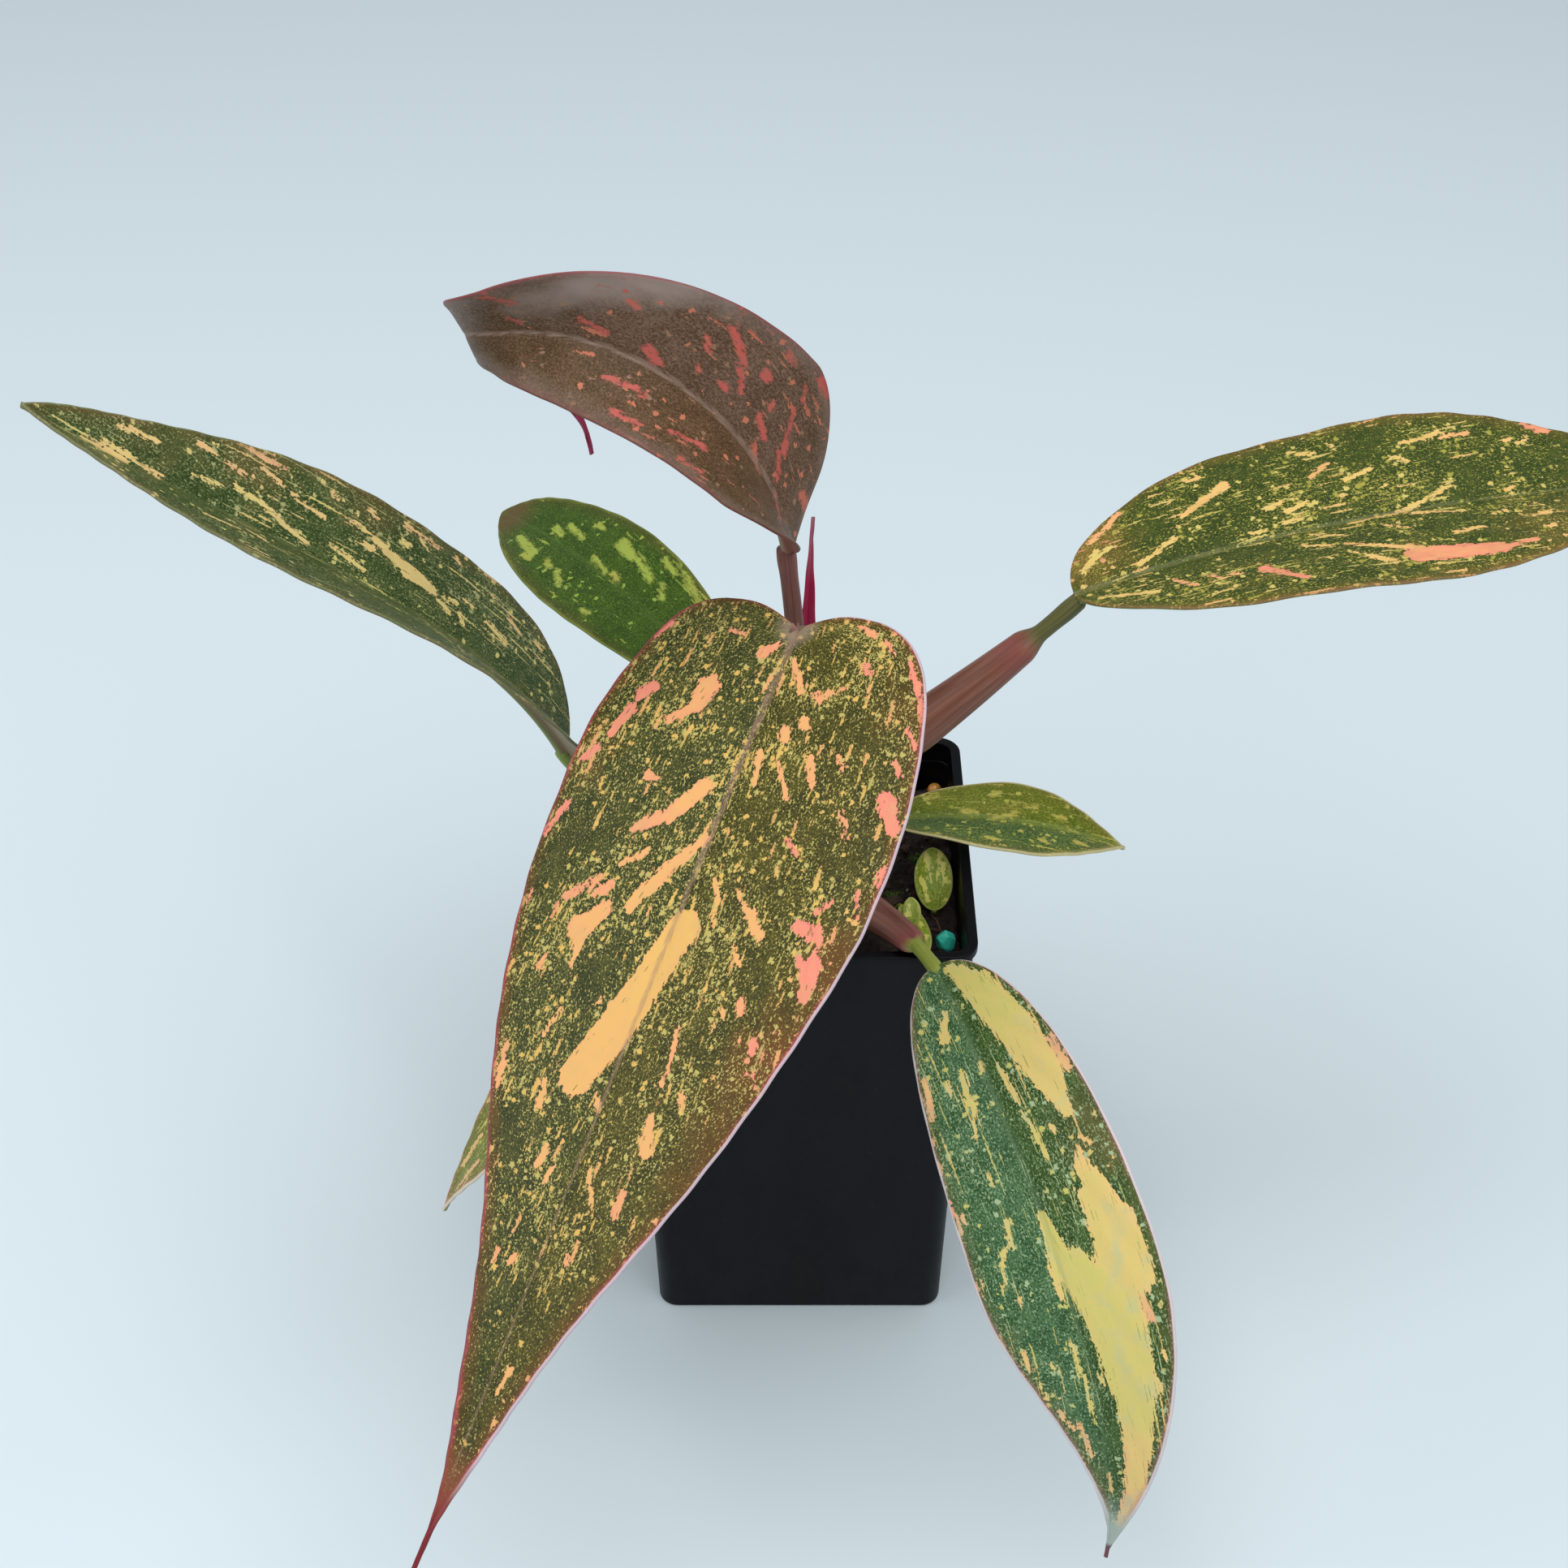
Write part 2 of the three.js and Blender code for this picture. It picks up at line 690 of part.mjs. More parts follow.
function place(name, geometry, colour, roughness, metalness = 0) {
  const material = new THREE.MeshStandardMaterial({ color: colour, roughness, metalness });
  const mesh = new THREE.Mesh(geometry, material);
  mesh.name = name;
  part.add(mesh);
}

// A grain with broken faces, swollen by extra where it serves as a cutter
function crystal(extra = 0) {
  const geometry = new THREE.DodecahedronGeometry(1, 0);
  const [wide, deep, high] = CRYSTAL.half;
  geometry.scale(wide + extra, deep + extra, high + extra);
  geometry.rotateY(radians(CRYSTAL.lean));
  return geometry.translate(...CRYSTAL.place);
}

function bead(extra = 0) {
  return new THREE.IcosahedronGeometry(BEAD.radius + extra, 1).translate(...BEAD.place);
}

// A leaf with its petiole as one body, cut clear of the stem and of the stalks that it passes
const SHARES = [0.35, 0.7, 1];
const SMALL_SHARES = [0.5, 1];

function leafBody(leaf, rib, rows, shares, thick) {
  return solidFrom(blade(leaf, rib, rows, shares, thick)).add(solidFrom(stalk(leaf, rib)));
}

const offsetRibs = OFFSETS.map((leaf) => midribOf(leaf));
const offsetHoles = OFFSETS.map((leaf, i) => stalk(leaf, offsetRibs[i], GAP));

place("nursery_pot", pot(), 0x15161c, 0.45);
place("potting_mix", soil([stemHole(), ...offsetHoles, crystal(GAP), bead(GAP)]), 0x17120e, 0.95);
place("stem", stem(), 0x5d6a34, 0.5);

let taken = solidFrom(stem(GAP));
for (const leaf of LEAVES) {
  const rib = midribOf(leaf);
  const rows = leaf.crease ? 30 : 18;
  const body = leafBody(leaf, rib, rows, SHARES, BLADE).subtract(taken);
  taken = taken.add(solidFrom(stalk(leaf, rib, GAP)));
  place(leaf.name, geometryOf(body), leaf.colour, 0.4);
}

place(BRACT.name, blade(BRACT, midribOf(BRACT), 10, SMALL_SHARES, THIN_BLADE), BRACT.colour, 0.4);
OFFSETS.forEach((leaf, i) => {
  const body = leafBody(leaf, offsetRibs[i], 8, SMALL_SHARES, THIN_BLADE);
  place(leaf.name, geometryOf(body), leaf.colour, 0.4);
});
place("feed_crystal", crystal(), 0x20a090, 0.4);
place("feed_bead", bead(), 0xc08030, 0.35);

export default part;
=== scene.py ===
"""Young variegated philodendron with marbled leaves in a deep square nursery pot"""

import math

import bmesh
import bpy
import numpy as np
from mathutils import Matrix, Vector, noise


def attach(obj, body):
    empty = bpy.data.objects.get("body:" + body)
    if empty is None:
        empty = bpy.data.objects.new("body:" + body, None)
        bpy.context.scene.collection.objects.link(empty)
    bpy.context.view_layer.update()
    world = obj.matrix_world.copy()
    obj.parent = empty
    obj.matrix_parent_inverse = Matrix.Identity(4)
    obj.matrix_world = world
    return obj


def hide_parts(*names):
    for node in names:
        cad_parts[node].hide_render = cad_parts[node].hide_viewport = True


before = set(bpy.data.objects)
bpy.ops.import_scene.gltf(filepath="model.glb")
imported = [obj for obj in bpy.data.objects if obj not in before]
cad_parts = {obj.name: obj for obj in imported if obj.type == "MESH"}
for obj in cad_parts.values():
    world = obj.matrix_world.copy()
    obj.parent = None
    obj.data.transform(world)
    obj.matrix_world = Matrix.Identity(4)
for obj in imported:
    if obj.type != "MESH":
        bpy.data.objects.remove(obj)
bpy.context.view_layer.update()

# Nursery pot: one shell of black polypropylene, injection moulded and drawn straight up out of its
# mould. It has a thin lip around the rim and four drain holes in the floor, and a little dust on its
# walls.
MM = 0.001
POT_HEIGHT = 107
POT_TOP = 33
POT_FOOT = 30.3
POT_CORNER = 4
POT_WALL = 1.3
POT_FLOOR = 1.6
LIP_STEP = 0.7
LIP_FOOT = 105.2
LIP_RISE = 0.5
INNER_STEP = 0.12
INNER_STEP_TOP = POT_HEIGHT - 4.6
INNER_STEP_FOOT = INNER_STEP_TOP - 0.2
WALL_RINGS = (30, 60, 90)
EDGE_ROUND = 0.3
FOOT_ROUND = 0.8
HOLE_PLACE = 18
HOLE_RADIUS = 4


def hue(code):
    """Linear colour of an sRGB hex code"""
    parts = [int(code[i : i + 2], 16) / 255 for i in (1, 3, 5)]
    return [p / 12.92 if p <= 0.04045 else ((p + 0.055) / 1.055) ** 2.4 for p in parts] + [1]


def node(tree, kind, inputs=None, **settings):
    """Adds a shader node with its settings and inputs, and gives its first live output"""
    made = tree.nodes.new("ShaderNode" + kind)
    for key, value in settings.items():
        setattr(made, key, value)
    for key, value in (inputs or {}).items():
        if isinstance(value, bpy.types.NodeSocket):
            tree.links.new(value, made.inputs[key])
        else:
            made.inputs[key].default_value = value
    return next(socket for socket in made.outputs if socket.enabled)


def surface_of(name, inputs):
    """A material with one main shader, whose plain values are given by socket name"""
    skin = bpy.data.materials.new(name)
    skin.use_nodes = True
    shader = skin.node_tree.nodes["Principled BSDF"]
    for key, value in inputs.items():
        shader.inputs[key].default_value = value
    return skin, skin.node_tree, shader.inputs


def millimetres(tree):
    """Object coordinates in millimetres"""
    place = node(tree, "TexCoord").node.outputs["Object"]
    return node(tree, "VectorMath", {0: place, "Scale": 1000}, operation="SCALE")


def piece(name, points, faces, skins, crease=None):
    """A mesh piece from points in millimetres that rides on the plant's one body"""
    mesh = bpy.data.meshes.new(name)
    mesh.from_pydata((np.asarray(points) * MM).tolist(), [], faces, shade_flat=False)
    if crease:
        mesh.set_sharp_from_angle(angle=math.radians(crease))
    for skin in skins:
        mesh.materials.append(skin)
    made = bpy.data.objects.new(name, mesh)
    bpy.context.scene.collection.objects.link(made)
    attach(made, "root")
    return made


def skinned(rings):
    """Points and faces of a closed body drawn over rings of equal point count"""
    size = len(rings[0])
    here = np.arange(size)
    then = (here + 1) % size
    faces = [here[::-1].tolist()]
    for i in range(0, (len(rings) - 1) * size, size):
        faces += np.stack([i + here, i + then, i + size + then, i + size + here], 1).tolist()
    faces.append((here + (len(rings) - 1) * size).tolist())
    return np.concatenate(rings), faces


def square_ring(half, corner, z, steps=10):
    """A square ring with rounded corners"""
    angles = np.radians(np.linspace(0, 90, steps + 1))
    ring = []
    for quarter in range(4):
        turn = quarter * math.pi / 2
        reach = (half - corner) * math.sqrt(2)
        x = reach * math.cos(turn + math.pi / 4) + corner * np.cos(angles + turn)
        y = reach * math.sin(turn + math.pi / 4) + corner * np.sin(angles + turn)
        ring.append(np.stack([x, y, np.full(len(x), z)], 1))
    return np.concatenate(ring)


def pot_half(z):
    """Outer half-width of the pot's drafted wall"""
    return POT_FOOT + (POT_TOP - LIP_STEP - POT_FOOT) * z / POT_HEIGHT


# Profile from the foot over the lip to the floor inside, as half-width, corner radius and height
quarter = [(1 - math.sin(a), 1 - math.cos(a)) for a in np.radians(np.linspace(0, 90, 6))]
inner_corner = POT_CORNER - POT_WALL
profile = [(POT_FOOT - FOOT_ROUND * s, POT_CORNER - FOOT_ROUND * s, FOOT_ROUND * c) for s, c in quarter]
profile += [(pot_half(z), POT_CORNER, z) for z in (*WALL_RINGS, LIP_FOOT - LIP_RISE)]
for s, c in quarter:
    out = LIP_STEP * c
    profile.append((pot_half(LIP_FOOT) + out, POT_CORNER + out, LIP_FOOT - LIP_RISE * s))
for s, c in quarter:
    inset = EDGE_ROUND * c
    profile.append((POT_TOP - inset, POT_CORNER + LIP_STEP - inset, POT_HEIGHT - EDGE_ROUND * s))
for s, c in quarter:
    half = pot_half(POT_HEIGHT) - POT_WALL + EDGE_ROUND * s
    profile.append((half, inner_corner + EDGE_ROUND * s, POT_HEIGHT - EDGE_ROUND * c))
for z, inset in ((INNER_STEP_TOP, 0), (INNER_STEP_FOOT, INNER_STEP), (60, INNER_STEP), (POT_FLOOR, 0)):
    profile.append((pot_half(z) - POT_WALL - inset, inner_corner, z))
pot_rings = [square_ring(*step) for step in profile]

# Black plastic: a cool black with the soft sheen of a fine mould texture
plastic, tree, shader = surface_of("pot_plastic", {"IOR": 1.49, "Specular IOR Level": 0.15})
place = millimetres(tree)
grain = node(tree, "TexNoise", {"Vector": place, "Scale": 1 / 0.35, "Detail": 3})
smear = node(tree, "VectorMath", {0: place, 1: (1 / 9, 1 / 9, 1 / 22)}, operation="MULTIPLY")
smear = node(tree, "TexNoise", {"Vector": smear, "Scale": 1, "Detail": 6, "Roughness": 0.65})
dust = node(tree, "MapRange", {"Value": smear, "From Min": 0.6, "From Max": 0.8, "To Max": 0.3})
speck = node(tree, "TexVoronoi", {"Vector": place, "Scale": 1 / 2.6})
speck = node(tree, "MapRange", {"Value": speck, "From Min": 0.09, "From Max": 0.05, "To Max": 0.4})
dust = node(tree, "Math", {0: dust, 1: speck}, operation="MAXIMUM")
tone = node(tree, "Mix", {0: dust, 6: hue("#040408"), 7: hue("#2c2826")}, data_type="RGBA")
tree.links.new(tone, shader["Base Color"])
rough = {"Value": smear, "From Min": 0.3, "From Max": 0.8, "To Min": 0.34, "To Max": 0.6}
tree.links.new(node(tree, "MapRange", rough), shader["Roughness"])
relief = node(tree, "Bump", {"Height": grain, "Strength": 0.35, "Distance": 0.05 * MM})
tree.links.new(relief, shader["Normal"])

pot = piece("pot_shell", *skinned(pot_rings), [plastic], crease=30)
holes = bmesh.new()
for x, y in ((1, 1), (1, -1), (-1, 1), (-1, -1)):
    spot = Vector((x * HOLE_PLACE, y * HOLE_PLACE, 0)) * MM
    hole = bmesh.ops.create_cone(
        holes,
        cap_ends=True,
        segments=32,
        radius1=HOLE_RADIUS * MM,
        radius2=HOLE_RADIUS * MM,
        depth=6 * POT_FLOOR * MM,
    )
    bmesh.ops.translate(holes, verts=hole["verts"], vec=spot)
cutter_mesh = bpy.data.meshes.new("drain_holes")
holes.to_mesh(cutter_mesh)
holes.free()
cutter = bpy.data.objects.new("drain_holes", cutter_mesh)
bpy.context.scene.collection.objects.link(cutter)
cut = pot.modifiers.new("drain_holes", "BOOLEAN")
cut.operation = "DIFFERENCE"
cut.solver = "EXACT"
cut.object = cutter
drained = bpy.data.meshes.new_from_object(pot.evaluated_get(bpy.context.evaluated_depsgraph_get()))
pot.modifiers.clear()
pot.data = drained
bpy.data.objects.remove(cutter)
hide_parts("nursery_pot")

# Potting mix: moist peat and composted bark, poured and watered in until it settled about 12 mm
# below the lip. Coarse bark bits and a few grains of perlite lie on top.
SOIL_LEVEL = 95
SOIL_HALF = 30.7
SOIL_CORNER = 2.7
SOIL_FOOT = 1.9
SOIL_CELLS = 130
rng = np.random.default_rng(11)


def soil_height(x, y):
    """Height of the soil's uneven top in millimetres"""
    lump = 0.9 * (math.sin(0.55 * x + 1.3) * math.cos(0.48 * y) + 0.6 * math.sin(0.31 * x - 0.9 * y))
    rough = 1.1 * noise.noise((x / 3.1, y / 3.1, 0)) + 0.75 * noise.noise((x / 1.2, y / 1.2, 4))
    return SOIL_LEVEL + lump + rough + 0.4 * noise.noise((x / 0.6, y / 0.6, 9))


soil_points = []
reach = SOIL_HALF - SOIL_CORNER
for i in range(SOIL_CELLS + 1):
    for j in range(SOIL_CELLS + 1):
        x, y = (SOIL_HALF * (2 * k / SOIL_CELLS - 1) for k in (i, j))
        beyond = np.array([max(0, abs(x) - reach), max(0, abs(y) - reach)])
        shrink = min(1, SOIL_CORNER / max(1e-9, np.hypot(*beyond)))
        x = math.copysign(min(abs(x), reach) + shrink * beyond[0], x)
        y = math.copysign(min(abs(y), reach) + shrink * beyond[1], y)
        soil_points.append((x, y, soil_height(x, y)))
wide = SOIL_CELLS + 1
soil_faces = []
for i in range(SOIL_CELLS):
    for j in range(SOIL_CELLS):
        a = i * wide + j
        soil_faces.append((a, a + wide, a + wide + 1, a + 1))
edge = [i * wide for i in range(wide)] + [SOIL_CELLS * wide + j for j in range(1, wide)]
edge += [i * wide + SOIL_CELLS for i in range(SOIL_CELLS - 1, -1, -1)] + list(range(SOIL_CELLS - 1, 0, -1))
foot = len(soil_points)
shrink = (pot_half(SOIL_FOOT) - POT_WALL - 0.3) / SOIL_HALF
for a in edge:
    x, y, z = soil_points[a]
    soil_points.append((x * shrink, y * shrink, SOIL_FOOT))
for k, a in enumerate(edge):
    then = (k + 1) % len(edge)
    soil_faces.append((a, foot + k, foot + then, edge[then]))
soil_faces.append([foot + k for k in range(len(edge))][::-1])


def mottled(name, plain, tones, grain, detail, rough=0.5, limits=(0, 1), relief=None):
    """A finish that wavers between two tones, in patches of a size in millimetres"""
    skin, tree, shader = surface_of(name, plain)
    place = {0: millimetres(tree), 1: 1 / (np.zeros(3) + grain)}
    place = node(tree, "VectorMath", place, operation="MULTIPLY")
    patches = node(tree, "TexNoise", {"Vector": place, "Scale": 1, "Detail": detail, "Roughness": rough})
    share = node(tree, "MapRange", {"Value": patches, "From Min": limits[0], "From Max": limits[1]})
    tone = node(tree, "Mix", {0: share, 6: hue(tones[0]), 7: hue(tones[1])}, data_type="RGBA")
    tree.links.new(tone, shader["Base Color"])
    if relief:
        strength, height = relief
        bump = node(tree, "Bump", {"Height": patches, "Strength": strength, "Distance": height * MM})
        tree.links.new(bump, shader["Normal"])
    return skin


# Moist peat: near black, with browner crumbs and a faint damp gloss
crumbs = {"grain": 0.9, "detail": 6, "rough": 0.7, "limits": (0.42, 0.72), "relief": (0.8, 0.3)}
peat = mottled("soil", {"IOR": 1.4, "Roughness": 0.75}, ("#120d0a", "#3a2a1e"), **crumbs)
soil = piece("potting_mix_fine", soil_points, soil_faces, [peat])
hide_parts("potting_mix")


def pebble_shape(level):
    """Unit icosphere as arrays of points and faces"""
    ball = bmesh.new()
    bmesh.ops.create_icosphere(ball, subdivisions=level, radius=1)
    points = np.array([v.co for v in ball.verts])
    faces = np.array([[v.index for v in f.verts] for f in ball.faces])
    ball.free()
    return points, faces


def scattered(name, skin, count, sizes, flatness, clear):
    """Broken grains pressed into the soil's top, sizes as smallest and largest half-length"""
    shape, shape_faces = pebble_shape(2)
    points, faces = [], []
    while len(points) < count:
        x, y = rng.uniform(-SOIL_HALF + 1.5, SOIL_HALF - 1.5, 2)
        size = sizes[0] + (sizes[1] - sizes[0]) * rng.random() ** 3
        axes = size * np.array([1, rng.uniform(0.35, 0.8), rng.uniform(*flatness)])
        turn = rng.uniform(0, math.pi)
        tilt = rng.normal(0, 0.3)
        if math.hypot(x, y) < clear:
            continue
        grain = shape * (1 + 0.28 * rng.normal(size=(len(shape), 1)).clip(-1, 1)) * axes
        sin, cos = math.sin(turn), math.cos(turn)
        spun = np.array([[cos, -sin, 0], [sin, cos, 0], [0, 0, 1]])
        sin, cos = math.sin(tilt), math.cos(tilt)
        tipped = np.array([[1, 0, 0], [0, cos, -sin], [0, sin, cos]])
        faces.append(shape_faces + len(points) * len(shape))
        points.append(grain @ (spun @ tipped).T + (x, y, soil_height(x, y) + 0.15 * size))
    return piece(name, np.concatenate(points), np.concatenate(faces).tolist(), [skin], crease=40)


# Composted bark: dark red-brown, dull, with a fibrous streak
bark = mottled("bark_bits", {"IOR": 1.4, "Roughness": 0.8}, ("#140e0b", "#50382a"), (0.25, 1.2, 0.25), 4)
scattered("bark_on_soil", bark, count=420, sizes=(0.45, 2.1), flatness=(0.25, 0.6), clear=5)

# Perlite: chalky off-white grains, stained by the peat
perlite = mottled("perlite", {"IOR": 1.5, "Roughness": 0.9}, ("#b9ae98", "#6d6353"), 0.7, 3)
scattered("perlite_on_soil", perlite, count=34, sizes=(0.3, 0.75), flatness=(0.6, 0.9), clear=6)

# Moss: two cushions of dark green moss that settled on the moist soil, each of many tiny pointed
# leaves
MOSS = ((24.4, 8.1, 1.9), (18.6, -4.2, 1.5))
MOSS_LEAVES = 150
MOSS_SINK = 0.1
slim = [(0, 0, 0), (0.13, 0, 0.4), (0, 0.05, 0.4), (-0.13, 0, 0.4), (0, -0.05, 0.4), (0, 0, 1)]
slim_faces = [(0, 2, 1), (0, 3, 2), (0, 4, 3), (0, 1, 4), (5, 1, 2), (5, 2, 3), (5, 3, 4), (5, 4, 1)]
moss_points, moss_faces = [], []
for x, y, spread in MOSS:
    for _ in range(MOSS_LEAVES):
        off = rng.normal(0, 0.45 * spread, 2).clip(-spread, spread)
        way = np.array([*(0.5 * off + rng.normal(0, 0.45, 2)), 1.0])
        way /= np.linalg.norm(way)
        side = np.cross(way, (0, 1, 0))
        side /= np.linalg.norm(side)
        size = rng.uniform(0.7, 1.3)
        turned = size * (np.array(slim) @ np.array([side, np.cross(way, side), way]))
        spot = (x + off[0], y + off[1], soil_height(x + off[0], y + off[1]) - MOSS_SINK)
        moss_faces += [tuple(k + 6 * len(moss_points) for k in face) for face in slim_faces]
        moss_points.append(turned + spot)

# Moss: deep green, dull
moss_skin = mottled("moss", {"IOR": 1.4, "Roughness": 0.7}, ("#24400e", "#5a7a22"), 0.8, 2)
piece("moss_on_soil", np.concatenate(moss_points), moss_faces, [moss_skin])

# Stem: the short upright shoot of a seedling-sized aroid. It is ringed by the scars of old leaves and
# hidden for the most part by the petioles that grow from it.
STEM_FOOT = 66
STEM_TOP = 134
STEM_RADIUS = 4.3
STEM_TAPER = 0.9
SCAR_SPACING = 7
SCAR_RAISE = 0.5
STEM_STEPS = 150


def spline(points, shares):
    """Points and directions of a centripetal spline through points at shares of the way"""
    knots = np.asarray(points, float)
    knots = np.vstack([2 * knots[0] - knots[1], knots, 2 * knots[-1] - knots[-2]])
    spans = len(knots) - 3
    places, aheads = [], []
    for share in shares:
        i = min(int(share * spans), spans - 1)
        w = share * spans - i
        p0, p1, p2, p3 = knots[i : i + 4]
        d0, d1, d2 = (max(np.linalg.norm(b - a), 1e-4) ** 0.5 for a, b in ((p0, p1), (p1, p2), (p2, p3)))
        t1 = ((p1 - p0) / d0 - (p2 - p0) / (d0 + d1) + (p2 - p1) / d1) * d1
        t2 = ((p2 - p1) / d1 - (p3 - p1) / (d1 + d2) + (p3 - p2) / d2) * d1
        c2 = -3 * p1 + 3 * p2 - 2 * t1 - t2
        c3 = 2 * p1 - 2 * p2 + t1 + t2
        places.append(p1 + w * (t1 + w * (c2 + w * c3)))
        ahead = t1 + w * (2 * c2 + 3 * w * c3)
        aheads.append(ahead / np.linalg.norm(ahead))
    return np.array(places), np.array(aheads)


def tube_frames(points, steps):
    """Places and sideways and upward directions along a spline, carried on without twist"""
    places, aheads = spline(points, np.linspace(0, 1, steps + 1))
    sides = []
    side = np.cross((0, 1, 0) if abs(aheads[0][2]) > 0.98 else (0, 0, 1), aheads[0])
    for ahead in aheads:
        side = side - side.dot(ahead) * ahead
        side /= np.linalg.norm(side)
        sides.append(side)
    sides = np.array(sides)
    return places, sides, np.cross(aheads, sides)


stem_path = [(0.4, 0.6, STEM_FOOT), (0.2, 0.4, 90), (0, 0, 112), (-0.4, 0.3, STEM_TOP)]
places, sides, ups = tube_frames(stem_path, STEM_STEPS)
angles = np.linspace(0, 2 * math.pi, 40, endpoint=False)
stem_rings = []
for k, (place, side, up) in enumerate(zip(places, sides, ups)):
    share = k / STEM_STEPS
    wavy = place[2] + 0.8 * np.sin(angles + 0.4 * (place[2] // SCAR_SPACING))
    scar = SCAR_RAISE * np.maximum(0, np.cos(2 * math.pi * wavy / SCAR_SPACING)) ** 3
    half = STEM_RADIUS - STEM_TAPER * share + scar + 0.12 * np.sin(3 * angles + place[2] / 6)
    half = half * math.sqrt(max(0.04, 1 - max(0, (share - 0.94) / 0.06) ** 2))
    ring = place + side * (half * np.cos(angles))[:, None]
    stem_rings.append(ring + up * (half * np.sin(angles))[:, None])

# Stem skin: smooth olive green that turns corky brown at the scars
corky = {"grain": 1.6, "detail": 5, "rough": 0.6, "limits": (0.45, 0.7), "relief": (0.5, 0.15)}
stem_skin = mottled("stem_skin", {"IOR": 1.42, "Roughness": 0.45}, ("#66743a", "#7a6546"), **corky)
stem = piece("stem_fine", *skinned(stem_rings), [stem_skin])
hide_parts("stem")

# Fibres: thin brown coir fibres, mixed into the soil. One end of each is buried, and the rest arches
# over the soil.
FIBRE_HALF = (0.11, 0.05)
FIBRE_STEPS = 24
FIBRE_ARCH = ((0, -0.6), (0.3, 1.3), (0.7, 1.7), (1, 0.9))
fibre_points, fibre_faces = [], []
for x, y, turn, long in (
    (27.6, -14.5, 1.9, 5.5),
    (12, 18, 0.4, 7),
    (-20, -16, 2.6, 6),
    (-9, 21, 5.2, 8),
    (21, 16, 3.7, 6),
    (-23, 7, 1.2, 7),
    (4, -24, 0.1, 6),
    (15, -24, 2.8, 5),
):
    low = soil_height(x, y)
    ahead = long * np.array([math.cos(turn), math.sin(turn)])
    route = [(*((x, y) + share * ahead), low + lift) for share, lift in FIBRE_ARCH]
    places, sides, ups = tube_frames(route, FIBRE_STEPS)
    around = np.linspace(0, 2 * math.pi, 6, endpoint=False)
    rings = []
    for place, side, up, thick in zip(places, sides, ups, np.linspace(*FIBRE_HALF, FIBRE_STEPS + 1)):
        rings.append(place + thick * (np.cos(around)[:, None] * side + np.sin(around)[:, None] * up))
    ring_points, ring_faces = skinned(rings)
    start = sum(len(p) for p in fibre_points)
    fibre_faces += [[start + k for k in face] for face in ring_faces]
    fibre_points.append(ring_points)

# Coir: red-brown and dull
coir = mottled("coir_fibre", {"IOR": 1.5, "Roughness": 0.6}, ("#5a3420", "#9a6a44"), 1.5, 2)
piece("fibres_on_soil", np.concatenate(fibre_points), fibre_faces, [coir])

# Front leaf: the largest and oldest, grown as one with its petiole. It hangs over the pot's front
# wall, its two lobes meet in a notch at the petiole, and its tip is drawn out long. The young green
# tissue is olive and dark green, and sectors without chlorophyll show as yellow to salmon streaks
# along the side veins.
EVEN_OUT = 0.6
VEIN_SWEEP = 1.3
MARGIN_END = 0.4
LOBE_SHARE = 0.07
RIB_STEPS = 60
BLADE = 0.5
RIM_ROUND = 0.3
RIM_BEAD = 0.08
RIM_BEAD_PLACE = 0.45
RIM_BEAD_SPREAD = 0.22
RIDGE_TIP = 0.3
GROOVE_DEPTH = 0.22
GROOVE_HALF = 0.75
QUILT_RAISE = 0.12
QUILT_SPACING = 7.5
QUILT_SLANT = 9
STREAK_HALF = 0.4
TINT_BLEND = 0.7


def bend(three, t):
    """A value that changes along the leaf: its start, its slope and, where given, its curve"""
    return three[0] + three[1] * t + (three[2] if len(three) > 2 else 0) * t * t


def smooth(t):
    """Soft step from 0 to 1"""
    t = np.clip(t, 0, 1)
    return t * t * (3 - 2 * t)


def angles_at(leaf, t):
    """Heading, rise and roll of the midrib at a share t of its length, in radians"""
    return [np.radians(bend(leaf[key], t)) for key in ("heading", "rise", "roll")]


def direction_at(leaf, t):
    """Direction of the midrib at a share t of its length"""
    heading, rise, _ = angles_at(leaf, t)
    return np.stack([np.cos(rise) * np.cos(heading), np.cos(rise) * np.sin(heading), np.sin(rise)], -1)


def frame_at(leaf, t):
    """Place of the midrib at a share t, with the sideways and upward directions there"""
    steps = direction_at(leaf, (np.arange(RIB_STEPS) + 0.5) / RIB_STEPS) * leaf["length"] / RIB_STEPS
    rib = np.vstack([leaf["base"], leaf["base"] + np.cumsum(steps, 0)])
    inside = np.clip(t, 0, 1)
    known = np.arange(RIB_STEPS + 1) / RIB_STEPS
    place = np.stack([np.interp(inside, known, rib[:, k]) for k in range(3)], -1)
    ahead = direction_at(leaf, inside)
    place = place + (np.minimum(t, 0) * leaf["length"])[..., None] * ahead
    heading, _, roll = angles_at(leaf, inside)
    level = np.stack([-np.sin(heading), np.cos(heading), 0 * heading], -1)
    over = np.cross(ahead, level)
    lean, stand = np.sin(roll)[..., None], np.cos(roll)[..., None]
    return place, level * stand + over * lean, over * stand - level * lean


def half_width(leaf, x, side):
    """Distance of one margin from the midrib at a share x of the length"""
    wide = np.where(side > 0, leaf["left"], leaf["right"])
    lobe, rear = leaf.get("lobe", (0, 0))
    rear, widest, shoulder = rear * wide, leaf["widest"], leaf["shoulder"]
    back = np.clip((widest - x) / (widest + lobe), 0, 1)
    front = np.clip((x - widest) / (1 - widest), 0, 1)
    behind = rear + (wide - rear) * (1 - back**shoulder) ** (1 / shoulder)
    rounding, left, right = (*leaf["taper"], leaf["taper"][1])[:3]
    ahead = wide * (1 - front**rounding) ** np.where(side > 0, left, right)
    return np.where(x < widest, behind, ahead)


def eased(s):
    """Share of the way with finer steps at both ends"""
    return s - EVEN_OUT * np.sin(2 * np.pi * s) / (2 * np.pi)


